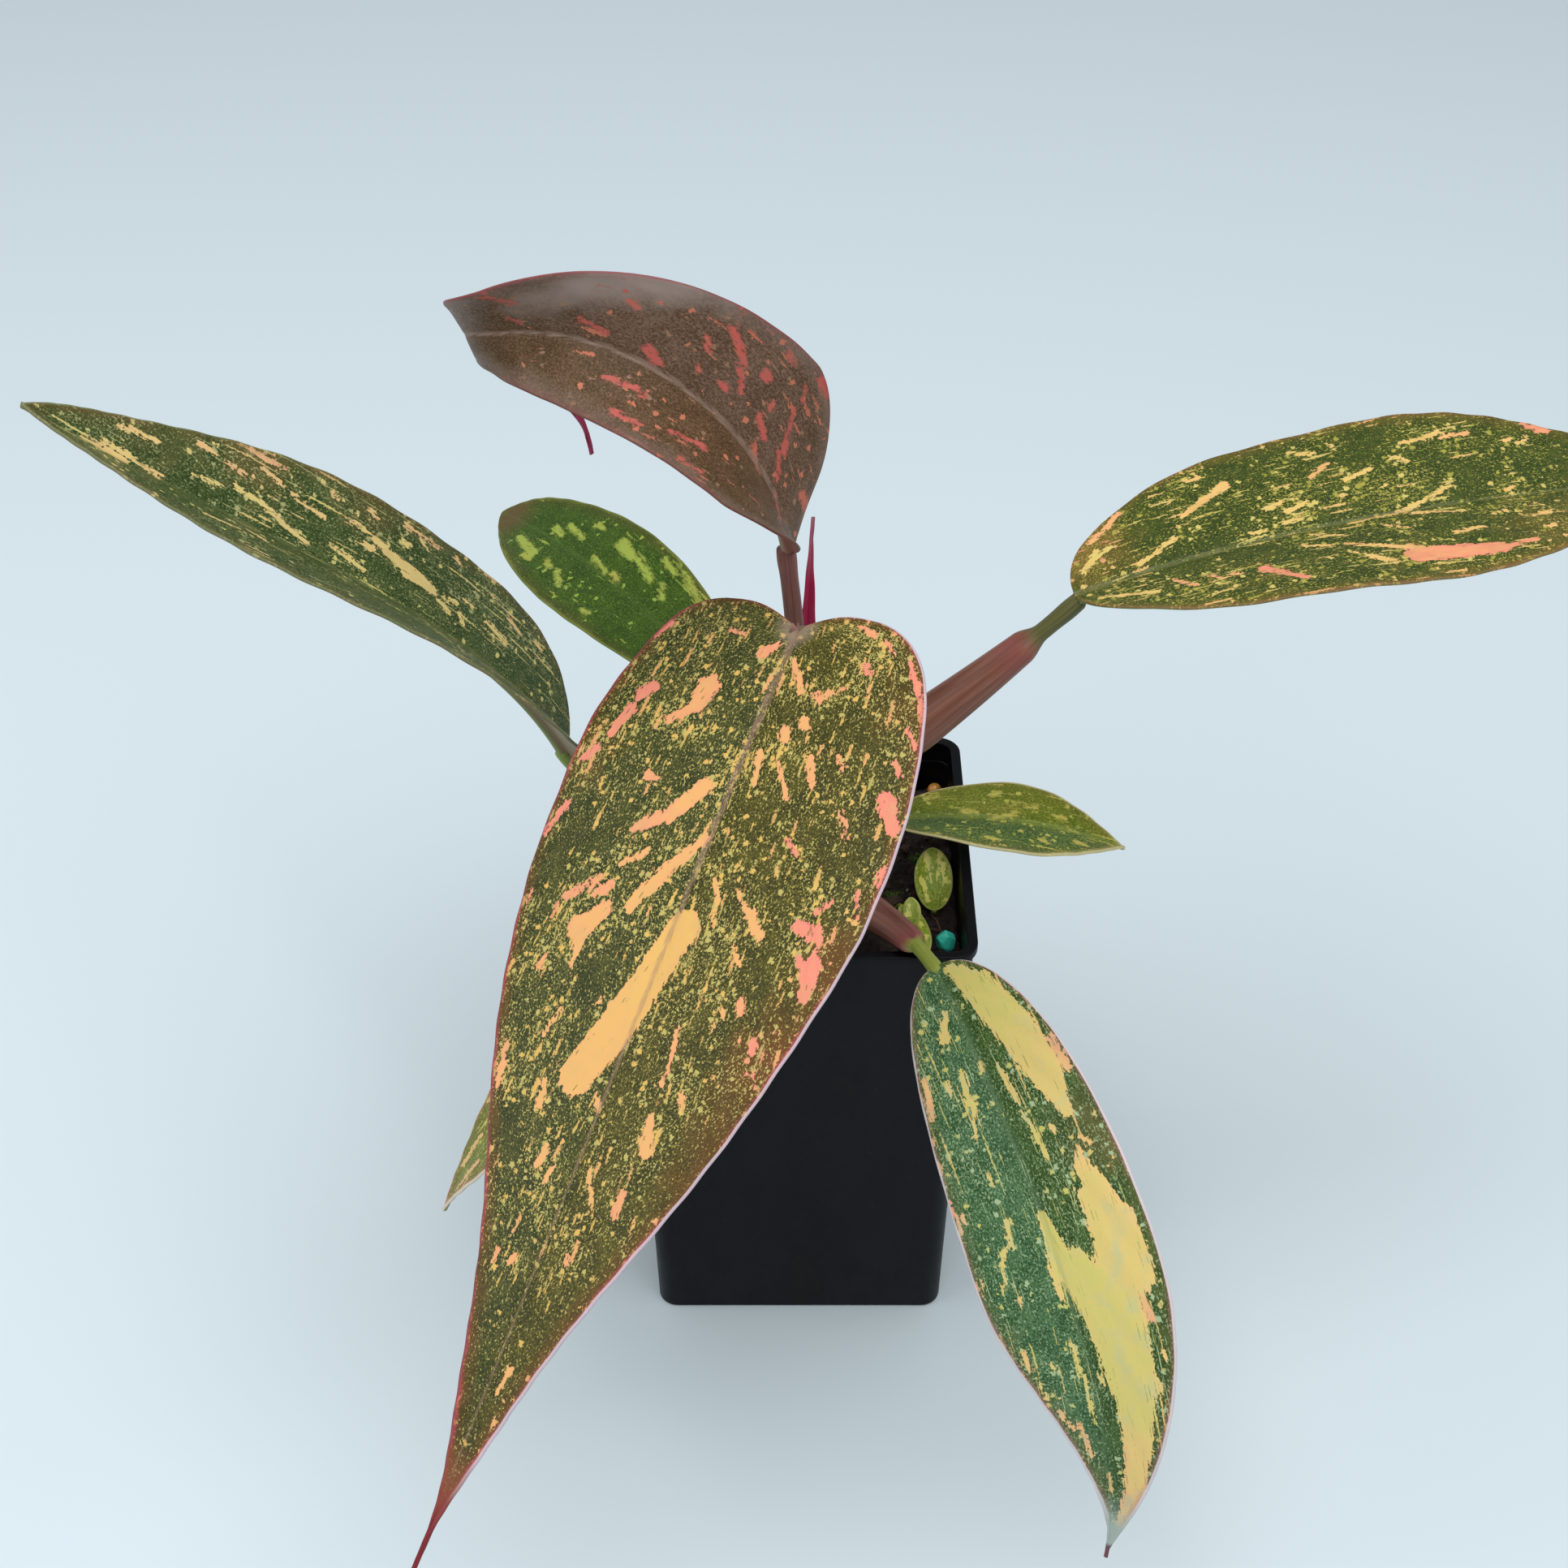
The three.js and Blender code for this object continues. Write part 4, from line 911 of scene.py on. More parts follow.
leaf_front = {
    "name": "leaf_front", "base": (-0.7, -13.2, 167.8), "length": 171.2,
    "heading": (-114.4, -5.6, -1.6), "rise": (-27.1, -26.8, 11.1), "roll": (11.3, 2.4),
    "left": 34.2, "right": 34.9, "widest": 0.289, "shoulder": 2.67, "taper": (1.52, 1.57, 1.84),
    "lobe": (0.02, 0.32),
    "fold": 7.6, "curl": 0.55, "wave": (0.7, 4.5),
    "stalk": ((0, -2, 117), (0.6, -5, 131), (0.5, -8, 148), (-0.2, -11, 161)),
    "radius": (1.9, 1.5), "sheath": (3.2, 2.8, 2.2, 0.45), "veins": 1.5,
    "streaks": (
        (57.1, 2.2, 73.5, -1.9, 6.3, 6.8, 0.15), (73.5, -1.9, 86.7, -6.5, 7.3, 6.5, 0.25),
        (41.2, -0.6, 52.2, -7.4, 1.7, 2.8, 0.4), (52.2, -7.4, 56.6, -9.4, 3, 2.2, 0.3),
        (32.8, -4.6, 38.9, -8.7, 3.1, 3.1, 0.45), (38.9, -8.7, 43, -14.5, 2.8, 2, 0.6),
        (14.6, -12, 17.8, -12.4, 4.6, 3.7, 0.6), (18.4, -12.4, 22.2, -16.6, 2.8, 1.7, 0.6),
        (16.7, -22.9, 18.5, -24.9, 2.6, 2.6, 0.9), (21.7, -25.4, 26.8, -27.7, 2.6, 1.7, 0.85),
        (29.9, -29.1, 32.6, -31.5, 1.4, 1.7, 0.95), (41.5, -31.2, 47.6, -34.1, 1.4, 1.4, 1),
        (3.5, -25.2, 5.7, -27.6, 1.2, 1.8, 1), (4.1, -2.4, 6.3, -4.4, 1.1, 2, 0.7),
        (3.2, -12.2, 3.3, -10, 0.9, 0.9, 0.6), (58.1, -13.8, 62.8, -17.2, 2.8, 5.3, 0.45),
        (64.9, -16.3, 70.5, -15.6, 2.2, 0.8, 0.35), (53.1, -17.6, 58, -22.8, 1.4, 1.7, 0.65),
        (53.9, -14.7, 56.3, -17.3, 1.7, 1.7, 0.65), (46.5, -10.4, 49.8, -14.3, 1.1, 1.3, 0.4),
        (20.1, 6.5, 20.8, 6.5, 2.8, 2.5, 0.45), (17.3, 9, 18.4, 10.1, 1.9, 1.4, 0.4),
        (11.8, 8.9, 13.2, 10.1, 1.1, 1.4, 0.6), (11.8, 11.4, 10.3, 14.1, 1.1, 0.8, 0.5),
        (6.4, 2.2, 12.3, 6, 1.1, 1.3, 0.45), (24.6, 3.3, 30.4, 4.5, 1.7, 0.8, 0.4),
        (25.4, 7.2, 31.5, 11.8, 1, 0.6, 0.45), (24.1, 13.2, 28.6, 15.6, 2.1, 1.1, 0.45),
        (22.2, 18, 24.3, 19.8, 1, 1, 0.6), (27.6, 28.9, 31.8, 32, 3.2, 2.4, 0.95),
        (38.4, 14.8, 40.4, 17.6, 0.9, 0.9, 0.8), (48.4, 9.6, 51.7, 12.9, 0.5, 1.2, 0.35),
        (51.7, 13.4, 55.2, 17.1, 1.9, 1.6, 0.35), (51.2, 6.7, 54.3, 7.2, 1.6, 0.8, 0.15),
        (58, 13, 60.4, 15.5, 0.9, 0.7, 0.3), (51.7, 23, 52, 25.8, 2.1, 2.9, 1),
        (48.8, 24.9, 46, 27.3, 1.2, 0.8, 0.95), (51, 26.5, 54.4, 28.4, 1.2, 0.8, 0.95),
        (56.5, 28.1, 62.1, 28.9, 2.9, 2.4, 1), (56.1, 24.8, 57.4, 26.3, 1.2, 1.5, 0.9),
        (66.4, 18.5, 67.6, 19.3, 1.9, 1.6, 0.6), (71.8, 23.7, 73, 23.9, 1.8, 1.6, 1),
        (76.7, 24.5, 76.8, 25.5, 1.2, 1, 1), (85.9, -22.3, 93, -20.9, 1.5, 1.1, 0.5),
        (89.9, -11.8, 93.3, -11.2, 1.6, 1.5, 0.3), (88.5, 10.6, 93.6, 12.1, 1.6, 2.4, 0.35),
        (99.4, -6.6, 103, -7.1, 1.2, 1.2, 0.35), (102.4, -4.3, 104.7, -4.4, 1.1, 0.9, 0.35),
        (101.6, 11.1, 105.2, 11.2, 1.8, 1.1, 0.6), (73.1, 9.1, 77.9, 10, 0.8, 0.9, 0.5),
        (77.9, 10, 82.6, 10.3, 0.5, 1.1, 0.5), (83.3, 14.5, 84.6, 15.2, 1.3, 1.1, 0.4),
        (99.9, 2.8, 106.5, 7.3, 0.9, 0.8, 0.2), (77.3, -14.5, 82.3, -15.9, 1.2, 0.7, 0.3),
        (68.3, 15.6, 69.6, 17, 0.9, 0.8, 0.35), (113.9, 5.8, 115.1, 5.9, 1.2, 1.1, 0.6),
        (118.1, -8.4, 120.2, -8.1, 1.2, 0.9, 0.55), (118, -4.8, 119.2, -5.3, 1.1, 0.9, 0.55),
        (134.4, 3.3, 138.5, 2.6, 1.5, 0.8, 0.3), (3, 23.4, 7.5, 26.7, 0.7, 1.1, 0.95),
        (7.5, 26.7, 12.1, 29.6, 1.1, 0.8, 0.95), (38.9, 32.9, 41.7, 32.9, 1.1, 0.8, 1),
        (43.4, 30.1, 47.5, 31.8, 0.8, 0.7, 0.9), (31.2, 22.5, 35.6, 24.9, 0.9, 0.5, 0.6),
        (-1.8, 11.8, -0.5, 15.5, 1, 0.7, 0.65), (0.3, 18.1, 2.3, 20.2, 0.8, 0.8, 0.7),
        (59.2, -24.3, 62.6, -24.3, 0.8, 0.8, 0.75), (58, -31.8, 61.3, -31.2, 0.7, 0.9, 0.75),
        (71.5, -22.1, 69.1, -22.1, 1, 1, 0.6), (21.1, 28.1, 23.2, 30, 1.2, 0.7, 1),
        (5.2, 16.1, 6.9, 17.4, 1.1, 1, 0.9), (14.9, 27.9, 17.9, 30.7, 0.8, 0.8, 0.95),
        (48, 4.5, 50.1, 6.2, 1.1, 0.8, 0.25), (74.1, -8.2, 73, -7.8, 1, 0.8, 0.3),
        (88.3, -1.6, 90.5, 0, 0.7, 0.7, 0.35), (33.3, -16.1, 33.2, -14.4, 1.7, 1.1, 0.6),
    ),
    "zones": (
        (95, 28, 12, 0.65), (74, 29, 11, 0.65), (55, 33, 8, 0.6), (10, 28, 12, 0.4), (166, 0, 10, 0.5),
        (30, -33, 12, 0.4),
    ),
}

# Blade: olive and dark green with flecks of yellow-green, bronzed in places along its margins, and one
# half given darker, greener ground tones as painted shade
blade_look = {
    "ground": ("#333414", "#625b24"), "half": ("#2b3317", "#5a5a2a"),
    # The pale grey-brown about the joint is a painted sheen
    "zone": "#6a4420", "fleck": "#c4b668", "tints": ("#e4ba64", "#ecac70", "#ec8878"), "joint_sheen": "#a5907c",
    "crowd": 0.56, "big": 0.5, "sparse": 0.35,
    "rib": "#9a7c68", "rib_share": 0.65, "line": "#b04c50",
    "rim": "#d4c2cc", "other_rim": "#8e4650",
    "under": "#6f7a55", "edge": 0.7,
    "tip": (("#8a4a34", 148, 158), ("#7c1e2c", 155, 163)),
}
# Petiole: brown-pink over the sheath and olive beyond
petiole_look = {
    "sheath": ("#7a5a4a", "#9a7462"), "stalk": ("#6f7a3c", "#8d8a4c"),
    "pink": "#b4606a", "end": 0.45,
}
grow_leaf(leaf_front, blade_look, petiole_look)


# Crown leaf: the newest, still bronze with the red pigment of young tissue. It stands up from the
# stem's top, arches over to the left and folds back on itself, so that its pink tip hangs out
# behind the fold.
leaf_crown = {
    "name": "leaf_crown", "base": (-2, 0.4, 175), "length": 126.1,
    "heading": (184.8, -38.6, 16.6), "rise": (79.7, -105.5, -102), "roll": (-3.5, -144.3),
    "crease": (0.548, 13.2, 13.5, 171.4, 0.94),
    "left": 17.7, "right": 19.8, "widest": 0.19, "shoulder": 1.45, "taper": (1.2, 1.32),
    "fold": 21.1, "curl": -0.441, "wave": (1.9, 2.6),
    "stalk": ((-0.4, 0.4, 134.6), (-0.8, 0.5, 146), (-1.5, 0.5, 160)),
    "radius": (1.9, 1.6), "sheath": (2.1, 1.9, 1.7, 0.3), "veins": 1.6,
    "streaks": (
        (37.5, -13.3, 33.8, -10.4, 1.1, 1.5, 0.95), (33.8, -10.4, 30.1, -5.7, 1.5, 0.6, 0.95),
        (46.4, -2.4, 44.2, -1.4, 1.9, 2, 0.9), (51.3, 5.1, 43.2, 5.1, 0.9, 0.9, 0.95),
        (57.9, -3.7, 53.6, -2.6, 0.7, 0.7, 0.9), (47.5, 10.5, 42.1, 11.2, 1.2, 0.8, 0.9),
        (37.8, 9.5, 30.3, 8.4, 0.8, 0.5, 0.85), (24.9, -5.3, 21.6, -4, 1.4, 1.1, 0.9),
        (22.2, -2.1, 18.2, 1.3, 0.8, 1, 0.5), (21.5, -11.6, 17, -5.7, 0.7, 1.3, 0.9),
        (17.4, -5.2, 14, -2.2, 1.3, 0.6, 0.9), (29.3, -11.2, 28.3, -11.1, 1.7, 1.4, 0.95),
        (33.6, -4.8, 32.9, -4.4, 1.2, 1.1, 0.9), (39.9, -9.4, 38.5, -7.6, 0.8, 0.7, 0.8),
        (38.3, -4.7, 37.9, -4.1, 0.7, 0.7, 0.6), (22.8, -15.6, 21.4, -13.9, 0.7, 0.6, 0.85),
        (24.9, -9, 24.6, -7.8, 0.7, 0.7, 0.7), (38.2, -16.6, 37.2, -16, 1, 0.8, 0.7),
        (28.9, -17, 27.1, -16.2, 1, 1.1, 0.7), (22.5, -18.5, 19.3, -18.4, 1.3, 1.4, 1),
        (68.8, -3.1, 67.1, -2, 0.9, 0.8, 0.8), (70.4, -9.2, 67.3, -6.3, 1.1, 0.9, 0.8),
        (51.6, -9.5, 50.4, -8.8, 1.1, 0.8, 0.7), (11.8, -1, 10.8, 6.1, 0.6, 0.7, 0.8),
        (33.7, 13.8, 29.2, 14.4, 0.7, 0.5, 0.9), (7.8, -6.3, 1.7, -7.6, 1.5, 2, 0.45),
    ),
    # Zones: where the painted grey sheen lies, just below the crest of the fold
    "zones": (
        (59.8, -9.3, 5, 0.5), (54.1, -12.9, 5, 0.6), (47.5, -15.2, 5, 0.6), (66.4, -5.1, 5, 0.4),
        (40.3, -17.2, 4, 0.4),
    ),
}

# Blade: bronze and grey-brown with salmon-pink streaks, and a painted grey sheen just below the crest of
# its fold
blade_look = {
    "ground": ("#4a361e", "#6c523a"), "half": ("#543e2a", "#785f4e"),
    # Zone colour: the pale grey of the painted sheen
    "zone": "#96847a", "fleck": "#96735a", "tints": ("#cc7a5c", "#c66c58", "#bf5a52"),
    "crowd": 0.4, "big": 0.22, "small": 0.25,
    "rib": "#927a6c", "rib_share": 0.8, "line": "#8c3c40", "line_share": 0.25,
    "rim": "#6e4038", "other_rim": "#8c3c46", "rim_share": 0.6, "rim_width": 0.3,
    "under": "#84584a", "edge": 0.3, "soft": 0.3,
    "tip": (("#98244e", 104, 110),),
}
# Petiole: olive brown and pink
petiole_look = {
    "sheath": ("#4a2226", "#6e3c3a"), "stalk": ("#5e3a30", "#8c564c"),
    "pink": "#8a4048", "end": 0.3,
}
grow_leaf(leaf_crown, blade_look, petiole_look)


# Left leaf: long and narrow, half folded along its midrib. Its petiole runs out over the pot's left
# wall and the blade rises from there, levels out and ends in a small upturned hook.
leaf_left = {
    "name": "leaf_left", "base": (-45.4, 4.7, 126), "length": 125.6,
    "heading": (203.2, -2.8, -4.2), "rise": (68.5, -77.7, 55.8), "roll": (-9.4, -6.5),
    "left": 20.7, "right": 18.2, "widest": 0.27, "shoulder": 2.04, "taper": (2.25, 0.82),
    "fold": 26.3, "curl": 0.26, "wave": (0.6, 2.5),
    "stalk": ((-2, 0, 108), (-14, 2, 110.5), (-28, 4.4, 112), (-39, 5.2, 116)),
    "radius": (1.9, 1.5), "sheath": (3.6, 3, 2.2, 0.5), "veins": 4,
    "streaks": (
        (59.2, -9.3, 51.2, -7.2, 1.1, 2, 0.2), (51.2, -7.2, 44.4, -6.5, 2.6, 2.2, 0.25),
        (43.6, -5.3, 40, -4.5, 0.7, 1, 0.15), (61.5, -14.1, 59, -13.1, 1.1, 1.1, 0.5),
        (63.3, -10.2, 60.3, -9.5, 0.7, 0.9, 0.3), (61.3, -7.4, 58.6, -7.3, 0.9, 1.1, 0.4),
        (52.9, -15.6, 44.4, -15.6, 1, 1, 0.6), (40.5, -16.3, 39.3, -15.7, 1.2, 0.9, 0.5),
        (53.3, -12.2, 51.5, -12, 0.9, 1, 0.1), (48.6, -14.3, 47.1, -13.4, 0.9, 0.9, 0.1),
        (67.2, -3.6, 59.2, -2.7, 0.6, 1, 0.1), (42.1, -6.6, 38.8, -7.2, 1, 0.9, 0.15),
        (37.6, -5.4, 36.2, -4.2, 0.7, 0.9, 0.2), (37.1, -9, 34.4, -9.1, 0.6, 0.6, 0.3),
        (31.1, -8.2, 25.4, -7, 0.9, 1.5, 0.2), (25.6, -12.6, 22, -11.3, 0.6, 0.9, 0.5),
        (33.2, -18.2, 28.8, -18, 0.9, 0.9, 0.45), (30.8, -14.3, 30, -14, 0.8, 0.8, 0.4),
        (17.4, -12.5, 15.3, -12.3, 0.9, 0.9, 0.3), (76.8, -9.1, 69.1, -7.8, 0.6, 0.6, 0.45),
        (83.9, -5.5, 78.2, -4, 0.8, 1.1, 0.15), (77.9, -3.5, 71.3, -1.7, 1.1, 0.7, 0.2),
        (95, -4.1, 90, -4.1, 0.5, 0.7, 0.1), (87, -5.4, 83.5, -4.8, 0.5, 0.7, 0.1),
        (109.4, -5.6, 102.4, -6.4, 0.8, 0.5, 0.4), (114.3, -0.3, 107, -0.1, 1, 1.8, 0.4),
        (111, -1.7, 105.3, -1.3, 0.7, 0.5, 0.2), (105.2, -1.2, 99.9, -0.9, 0.8, 0.7, 0.4),
        (86.5, -13, 78.8, -12.6, 0.8, 1.1, 0.75), (89.6, -9, 85.9, -8.3, 0.7, 0.5, 0.6),
        (95.3, -9.6, 92.1, -9.3, 0.7, 0.5, 0.6), (83.2, -10.9, 79, -9.9, 0.6, 0.6, 0.5),
        (93.3, 6.7, 86.4, 6.5, 0.8, 0.7, 0.3), (84.5, 4.4, 81.2, 5.7, 0.7, 0.7, 0.3),
        (69.1, -13.2, 67.7, -12.4, 0.8, 0.7, 0.4), (65.5, -9.7, 63.3, -9, 0.7, 0.7, 0.35),
    ),
    "zones": (
        (60, -16, 10, 0.5), (85, -13, 10, 0.5), (105, -8, 10, 0.4), (10, 8, 14, 0.5), (35, 13, 12, 0.3),
    ),
}

# Blade: green, olive-brown along its upper margin, with yellow streaks along the midrib
blade_look = {
    "ground": ("#2e421b", "#5a683a"),
    "zone": "#6a5a30", "fleck": "#b0b078", "tints": ("#e0d480", "#ecc884", "#eba884"),
    "crowd": 0.5, "big": 0.35, "small": 0.65,
    "rib": "#7c8450", "line": "#9a6a48", "line_share": 0.25,
    "rim": "#8a9a70", "rim_share": 0.4, "rim_width": 0.35,
    "under": "#7c6c50", "edge": 0.4,
}
# Petiole: yellow-green
petiole_look = {
    "sheath": ("#6f6a40", "#8d8450"), "stalk": ("#6a8236", "#8a9a48"),
    "pink": "#a87060", "end": 0.5,
}
grow_leaf(leaf_left, blade_look, petiole_look)


# Back leaf: shorter than the five long ones and almost level, on a thin petiole behind the crown. Its
# tissue is plain green with a few blurred pale blotches.
leaf_back = {
    "name": "leaf_back", "base": (-17.6, 32.3, 121.8), "length": 89.5,
    "heading": (126.4, -2.7, -0.9), "rise": (12, -35.8, 6), "roll": (-4.3, -24.4),
    "left": 13.7, "right": 14.2, "widest": 0.44, "shoulder": 2.13, "taper": (2.13, 0.73),
    "fold": 5.9, "curl": 0.42, "wave": (0.4, 3),
    "stalk": ((-1, 2, 106), (-6, 12, 112), (-12, 23, 118)),
    "radius": (1.7, 1.3), "sheath": (3.2, 2.6, 2, 0.5), "veins": 2,
    "streaks": (
        (73.6, 3.8, 63.5, 5.6, 1.8, 2.7, 0.05), (65.4, 7.1, 62.7, 6.9, 1.6, 1.6, 0.2),
        (57.9, 5.3, 54.9, 6.2, 1.4, 1.6, 0.15), (66.2, -2.7, 62.7, -1.8, 1.6, 1.6, 0),
        (63, -4.9, 56.5, -3.9, 1.3, 1.3, 0), (56.6, -8.2, 54.3, -8.2, 1.6, 1.4, 0.05),
        (46.1, -8.3, 40.6, -7, 2.8, 2.1, 0), (38.8, -7.8, 31.9, -5.7, 1.6, 1.7, 0),
        (40.1, -1.6, 37.6, -1.2, 1.4, 1.2, 0.4), (35.4, 9.8, 33.1, 9.6, 1.2, 1.2, 0.05),
        (28.7, -6.6, 25.6, -4.7, 1.2, 1.4, 0), (30.6, -12.8, 19.6, -9.9, 0.9, 1.5, 0.08),
        (48.5, -1.8, 42.1, -0.7, 1.1, 1.2, 0), (34.4, -11.8, 29.4, -10.5, 1.4, 1.4, 0),
        (52, 6.1, 47, 8.4, 1.2, 1.4, 0),
    ),
    "zones": ((86, 0, 10, 0.8),),
}

# Blade: plain green with blurred yellow-green blotches
blade_look = {
    "ground": ("#2b4210", "#46601c"),
    "zone": "#5c4c28", "fleck": "#7c9438", "tints": ("#98ac48", "#a8a44c", "#b89858"),
    "crowd": 0.3, "big": 0.2, "small": 0.4,
    "rib": "#5a6f30", "rib_share": 0.3, "line": "#8a8a40", "line_share": 0.4,
    "rim": "#7a8a40", "rim_share": 0.4,
    "under": "#5f7a3a", "edge": 0.4, "soft": 0.4,
}
# Petiole: green
petiole_look = {
    "sheath": ("#5f6a34", "#78803c"), "stalk": ("#557030", "#6f8a3c"),
    "pink": "#90705a", "end": 0.5,
}
grow_leaf(leaf_back, blade_look, petiole_look)


# Right leaf: held out level on a long petiole, most of which is a broad sheath. The sheath's two
# margins are folded to a slit on top and end in a rounded pink lobe.
leaf_right = {
    "name": "leaf_right", "base": (49.2, 0.4, 165.2), "length": 120,
    "heading": (14.7, -4.8, 0), "rise": (12.9, -21.7, 6), "roll": (-2, 10.7),
    "left": 24.9, "right": 24.1, "widest": 0.48, "shoulder": 2.07, "taper": (2.03, 0.91),
    "fold": 14, "curl": 0.45, "wave": (0.6, 3.5),
    "stalk": ((2, 0, 112), (12, 0, 126), (23.4, 0, 137), (33.5, 0, 147), (42.8, 0.2, 156.5)),
    "radius": (2, 1.6), "sheath": (5, 5.4, 3.6, 0.74), "veins": 2.2,
    "streaks": (
        (24.4, 10.1, 34.5, 15.1, 1, 1.9, 0.35), (13.4, 2.3, 21.4, 5.5, 0.6, 1, 0.1),
        (3.3, -4.7, 12.8, -8.8, 1, 0.4, 0.1), (16.7, -6.6, 19.5, -10.7, 1, 0.9, 0.6),
        (23, -8.9, 24, -10, 1, 0.9, 0.6), (25.5, -9.8, 27.7, -10.7, 0.9, 0.9, 0.6),
        (32, -11.1, 37.1, -17, 2.4, 1.2, 0.97), (48.4, -12, 53.9, -16.9, 1, 1.2, 0.25),
        (48, -8, 60.1, -13.9, 0.6, 1.7, 0.4), (58.8, -16, 73.7, -17.4, 4.9, 3.4, 0.9),
        (73.7, -17.4, 81, -16.4, 2, 0.7, 0.85), (49.7, 12, 54.2, 14.9, 1.1, 1.1, 0.45),
        (48.6, 19.8, 52.9, 18.3, 0.9, 1.2, 0.1), (56.3, 20.3, 56.9, 18.6, 0.9, 0.8, 0.1),
        (55.6, 9.9, 61, 11.4, 1.1, 1.1, 0.1), (43, 5.4, 47.3, 6.6, 1.2, 0.9, 0.1),
        (39.3, 7, 42.6, 7.8, 0.7, 0.7, 0.1), (53, 5.4, 54.3, 6.6, 0.7, 0.7, 0.1),
        (53.2, -0.8, 64.3, 0, 0.7, 0.9, 0.35), (64.3, 0.4, 74.2, 4.7, 1, 1, 0.08),
        (65.8, 13.1, 68.3, 11.7, 0.9, 1.2, 0.1), (68.9, 16.1, 73, 16.4, 0.8, 0.9, 0.2),
        (73, 16.4, 76.6, 17.4, 1.1, 1.1, 0.15), (76.6, 15.8, 81.3, 16.1, 0.8, 1.1, 0.55),
        (61.4, 6.4, 62.3, 6.8, 0.9, 0.9, 0.1), (63.7, -1.1, 73.2, -3.9, 0.6, 0.6, 0.3),
        (57.2, -3.5, 61.8, -7.4, 0.6, 0.7, 0.35), (68, -10.5, 74.1, -10, 0.6, 0.4, 0.3),
        (93.2, 16.5, 96.5, 15.1, 1.5, 1.9, 0.85), (89.8, 12.2, 92.4, 13.4, 0.8, 0.9, 0.2),
        (87.4, 13.1, 88.9, 13.4, 0.8, 0.6, 0.4), (83.7, 1.5, 85.3, 2.1, 0.6, 0.7, 0.3),
        (86, -8.1, 88.5, -7.4, 1, 0.9, 0.3), (85.3, -12.9, 87.2, -12.4, 0.7, 0.7, 0.4),
        (77.8, -6, 80.6, -5.5, 0.7, 0.7, 0.3), (27.7, 18.4, 31.3, 19, 0.8, 0.9, 0.3),
        (22.4, 14.2, 24, 14.4, 0.7, 0.7, 0.2), (44.3, -2.4, 49.9, -5.2, 0.6, 0.4, 0.2),
        (41, -5.6, 45.7, -8, 0.6, 0.6, 0.2), (34.1, 2.4, 37.5, 2.1, 0.6, 0.7, 0.1),
        (7, 10.6, 14.4, 15.8, 0.7, 1.2, 0.6), (3.8, 4.6, 7.4, 8.1, 1.3, 1.5, 0.02),
        (6.5, 6.7, 9.9, 8.1, 1.2, 0.9, 0), (40.7, 2.9, 44.4, 2.9, 0.7, 0.6, 0.05),
    ),
    "zones": (
        (60, 20, 12, 0.2), (5, 10, 10, 0.8), (30, -14, 12, 0.3), (60, -18, 12, 0.25), (85, -12, 12, 0.4),
        (105, 0, 14, 0.3),
    ),
}

# Blade: green with yellow flecks and one long salmon sector by its lower margin
blade_look = {
    "ground": ("#2c3c12", "#525c22"),
    "zone": "#74602a", "fleck": "#aca448", "tints": ("#dcc870", "#eebc76", "#ee8e74"),
    "crowd": 0.5, "big": 0.5,
    "rib": "#8a8a5a", "line": "#a85c48", "line_share": 0.25,
    "rim": "#8a7450", "rim_share": 0.4, "rim_width": 0.35,
    "under": "#74834e", "edge": 0.5,
}
# Petiole: brown-pink sheath, green beyond it
petiole_look = {
    "sheath": ("#6c4334", "#966656"), "stalk": ("#47502a", "#74683a"),
    "pink": "#8e4a44", "end": 0.74,
}
grow_leaf(leaf_right, blade_look, petiole_look)


# Small right leaf: the smallest, from low on the stem. It stands just above the pot's right rim on a
# short petiole.
leaf_small_right = {
    "name": "leaf_small_right", "base": (16.7, 1.7, 111), "length": 49,
    "heading": (0.8, -1.4, 1.3), "rise": (8.2, -35.8, 1.4), "roll": (-0.7, 12.7),
    "left": 9.2, "right": 9.6, "widest": 0.53, "shoulder": 1.85, "taper": (1.95, 1.14),
    "fold": 7.8, "curl": 0.28, "wave": (0.3, 2),
    "stalk": ((2, 1.6, 101), (6.5, 2.2, 103.5), (11.5, 2, 107.6)),
    "radius": (1.2, 0.9), "sheath": (2, 1.7, 1.2, 0.5), "veins": 3,
    "streaks": (
        (37.4, -3.2, 39.6, -3.2, 1.1, 1.3, 0.15), (29.8, -4.5, 31.3, -5.6, 0.9, 0.9, 0.1),
        (36.4, 0.3, 38.2, -0.2, 0.8, 0.8, 0.1), (20.7, -0.2, 25.7, 1.6, 1, 1, 0.1),
        (20.7, 5.8, 22.3, 6.4, 0.8, 0.8, 0.05), (27.4, 4, 29.7, 3.5, 0.8, 0.8, 0.05),
        (33.7, 2.5, 35.6, 2.2, 0.8, 0.8, 0.1), (15.1, 1, 17.9, 1.4, 0.8, 0.6, 0.05),
        (19.1, -6.2, 21.2, -6.8, 0.6, 0.6, 0.1), (24.6, 3.7, 26.7, 4.5, 0.6, 0.6, 0),
        (8, 4.6, 10.5, 5.4, 1, 0.8, 0.05),
    ),
    "zones": ((25, 5, 12, 0.3),),
}

# Blade: olive yellow-green, bluer on its lower half
blade_look = {
    "ground": ("#5c681c", "#848c30"), "half": ("#40582c", "#647c44"),
    "zone": "#7a6a30", "fleck": "#a4ac48", "tints": ("#c4c05c", "#ccb45c", "#d4a868"),
    "crowd": 0.42, "big": 0.35, "small": 0.5,
    "rib": "#90a050", "line": "#c0b070", "line_share": 0.5,
    "rim": "#d8cc9c", "rim_share": 0.7,
    "under": "#74834e", "edge": 0.3, "soft": 0.35,
}
# Petiole: green
petiole_look = {
    "sheath": ("#5f6a34", "#78803c"), "stalk": ("#557030", "#6f8a3c"),
    "pink": "#90705a", "end": 0.5,
}
grow_leaf(leaf_small_right, blade_look, petiole_look)


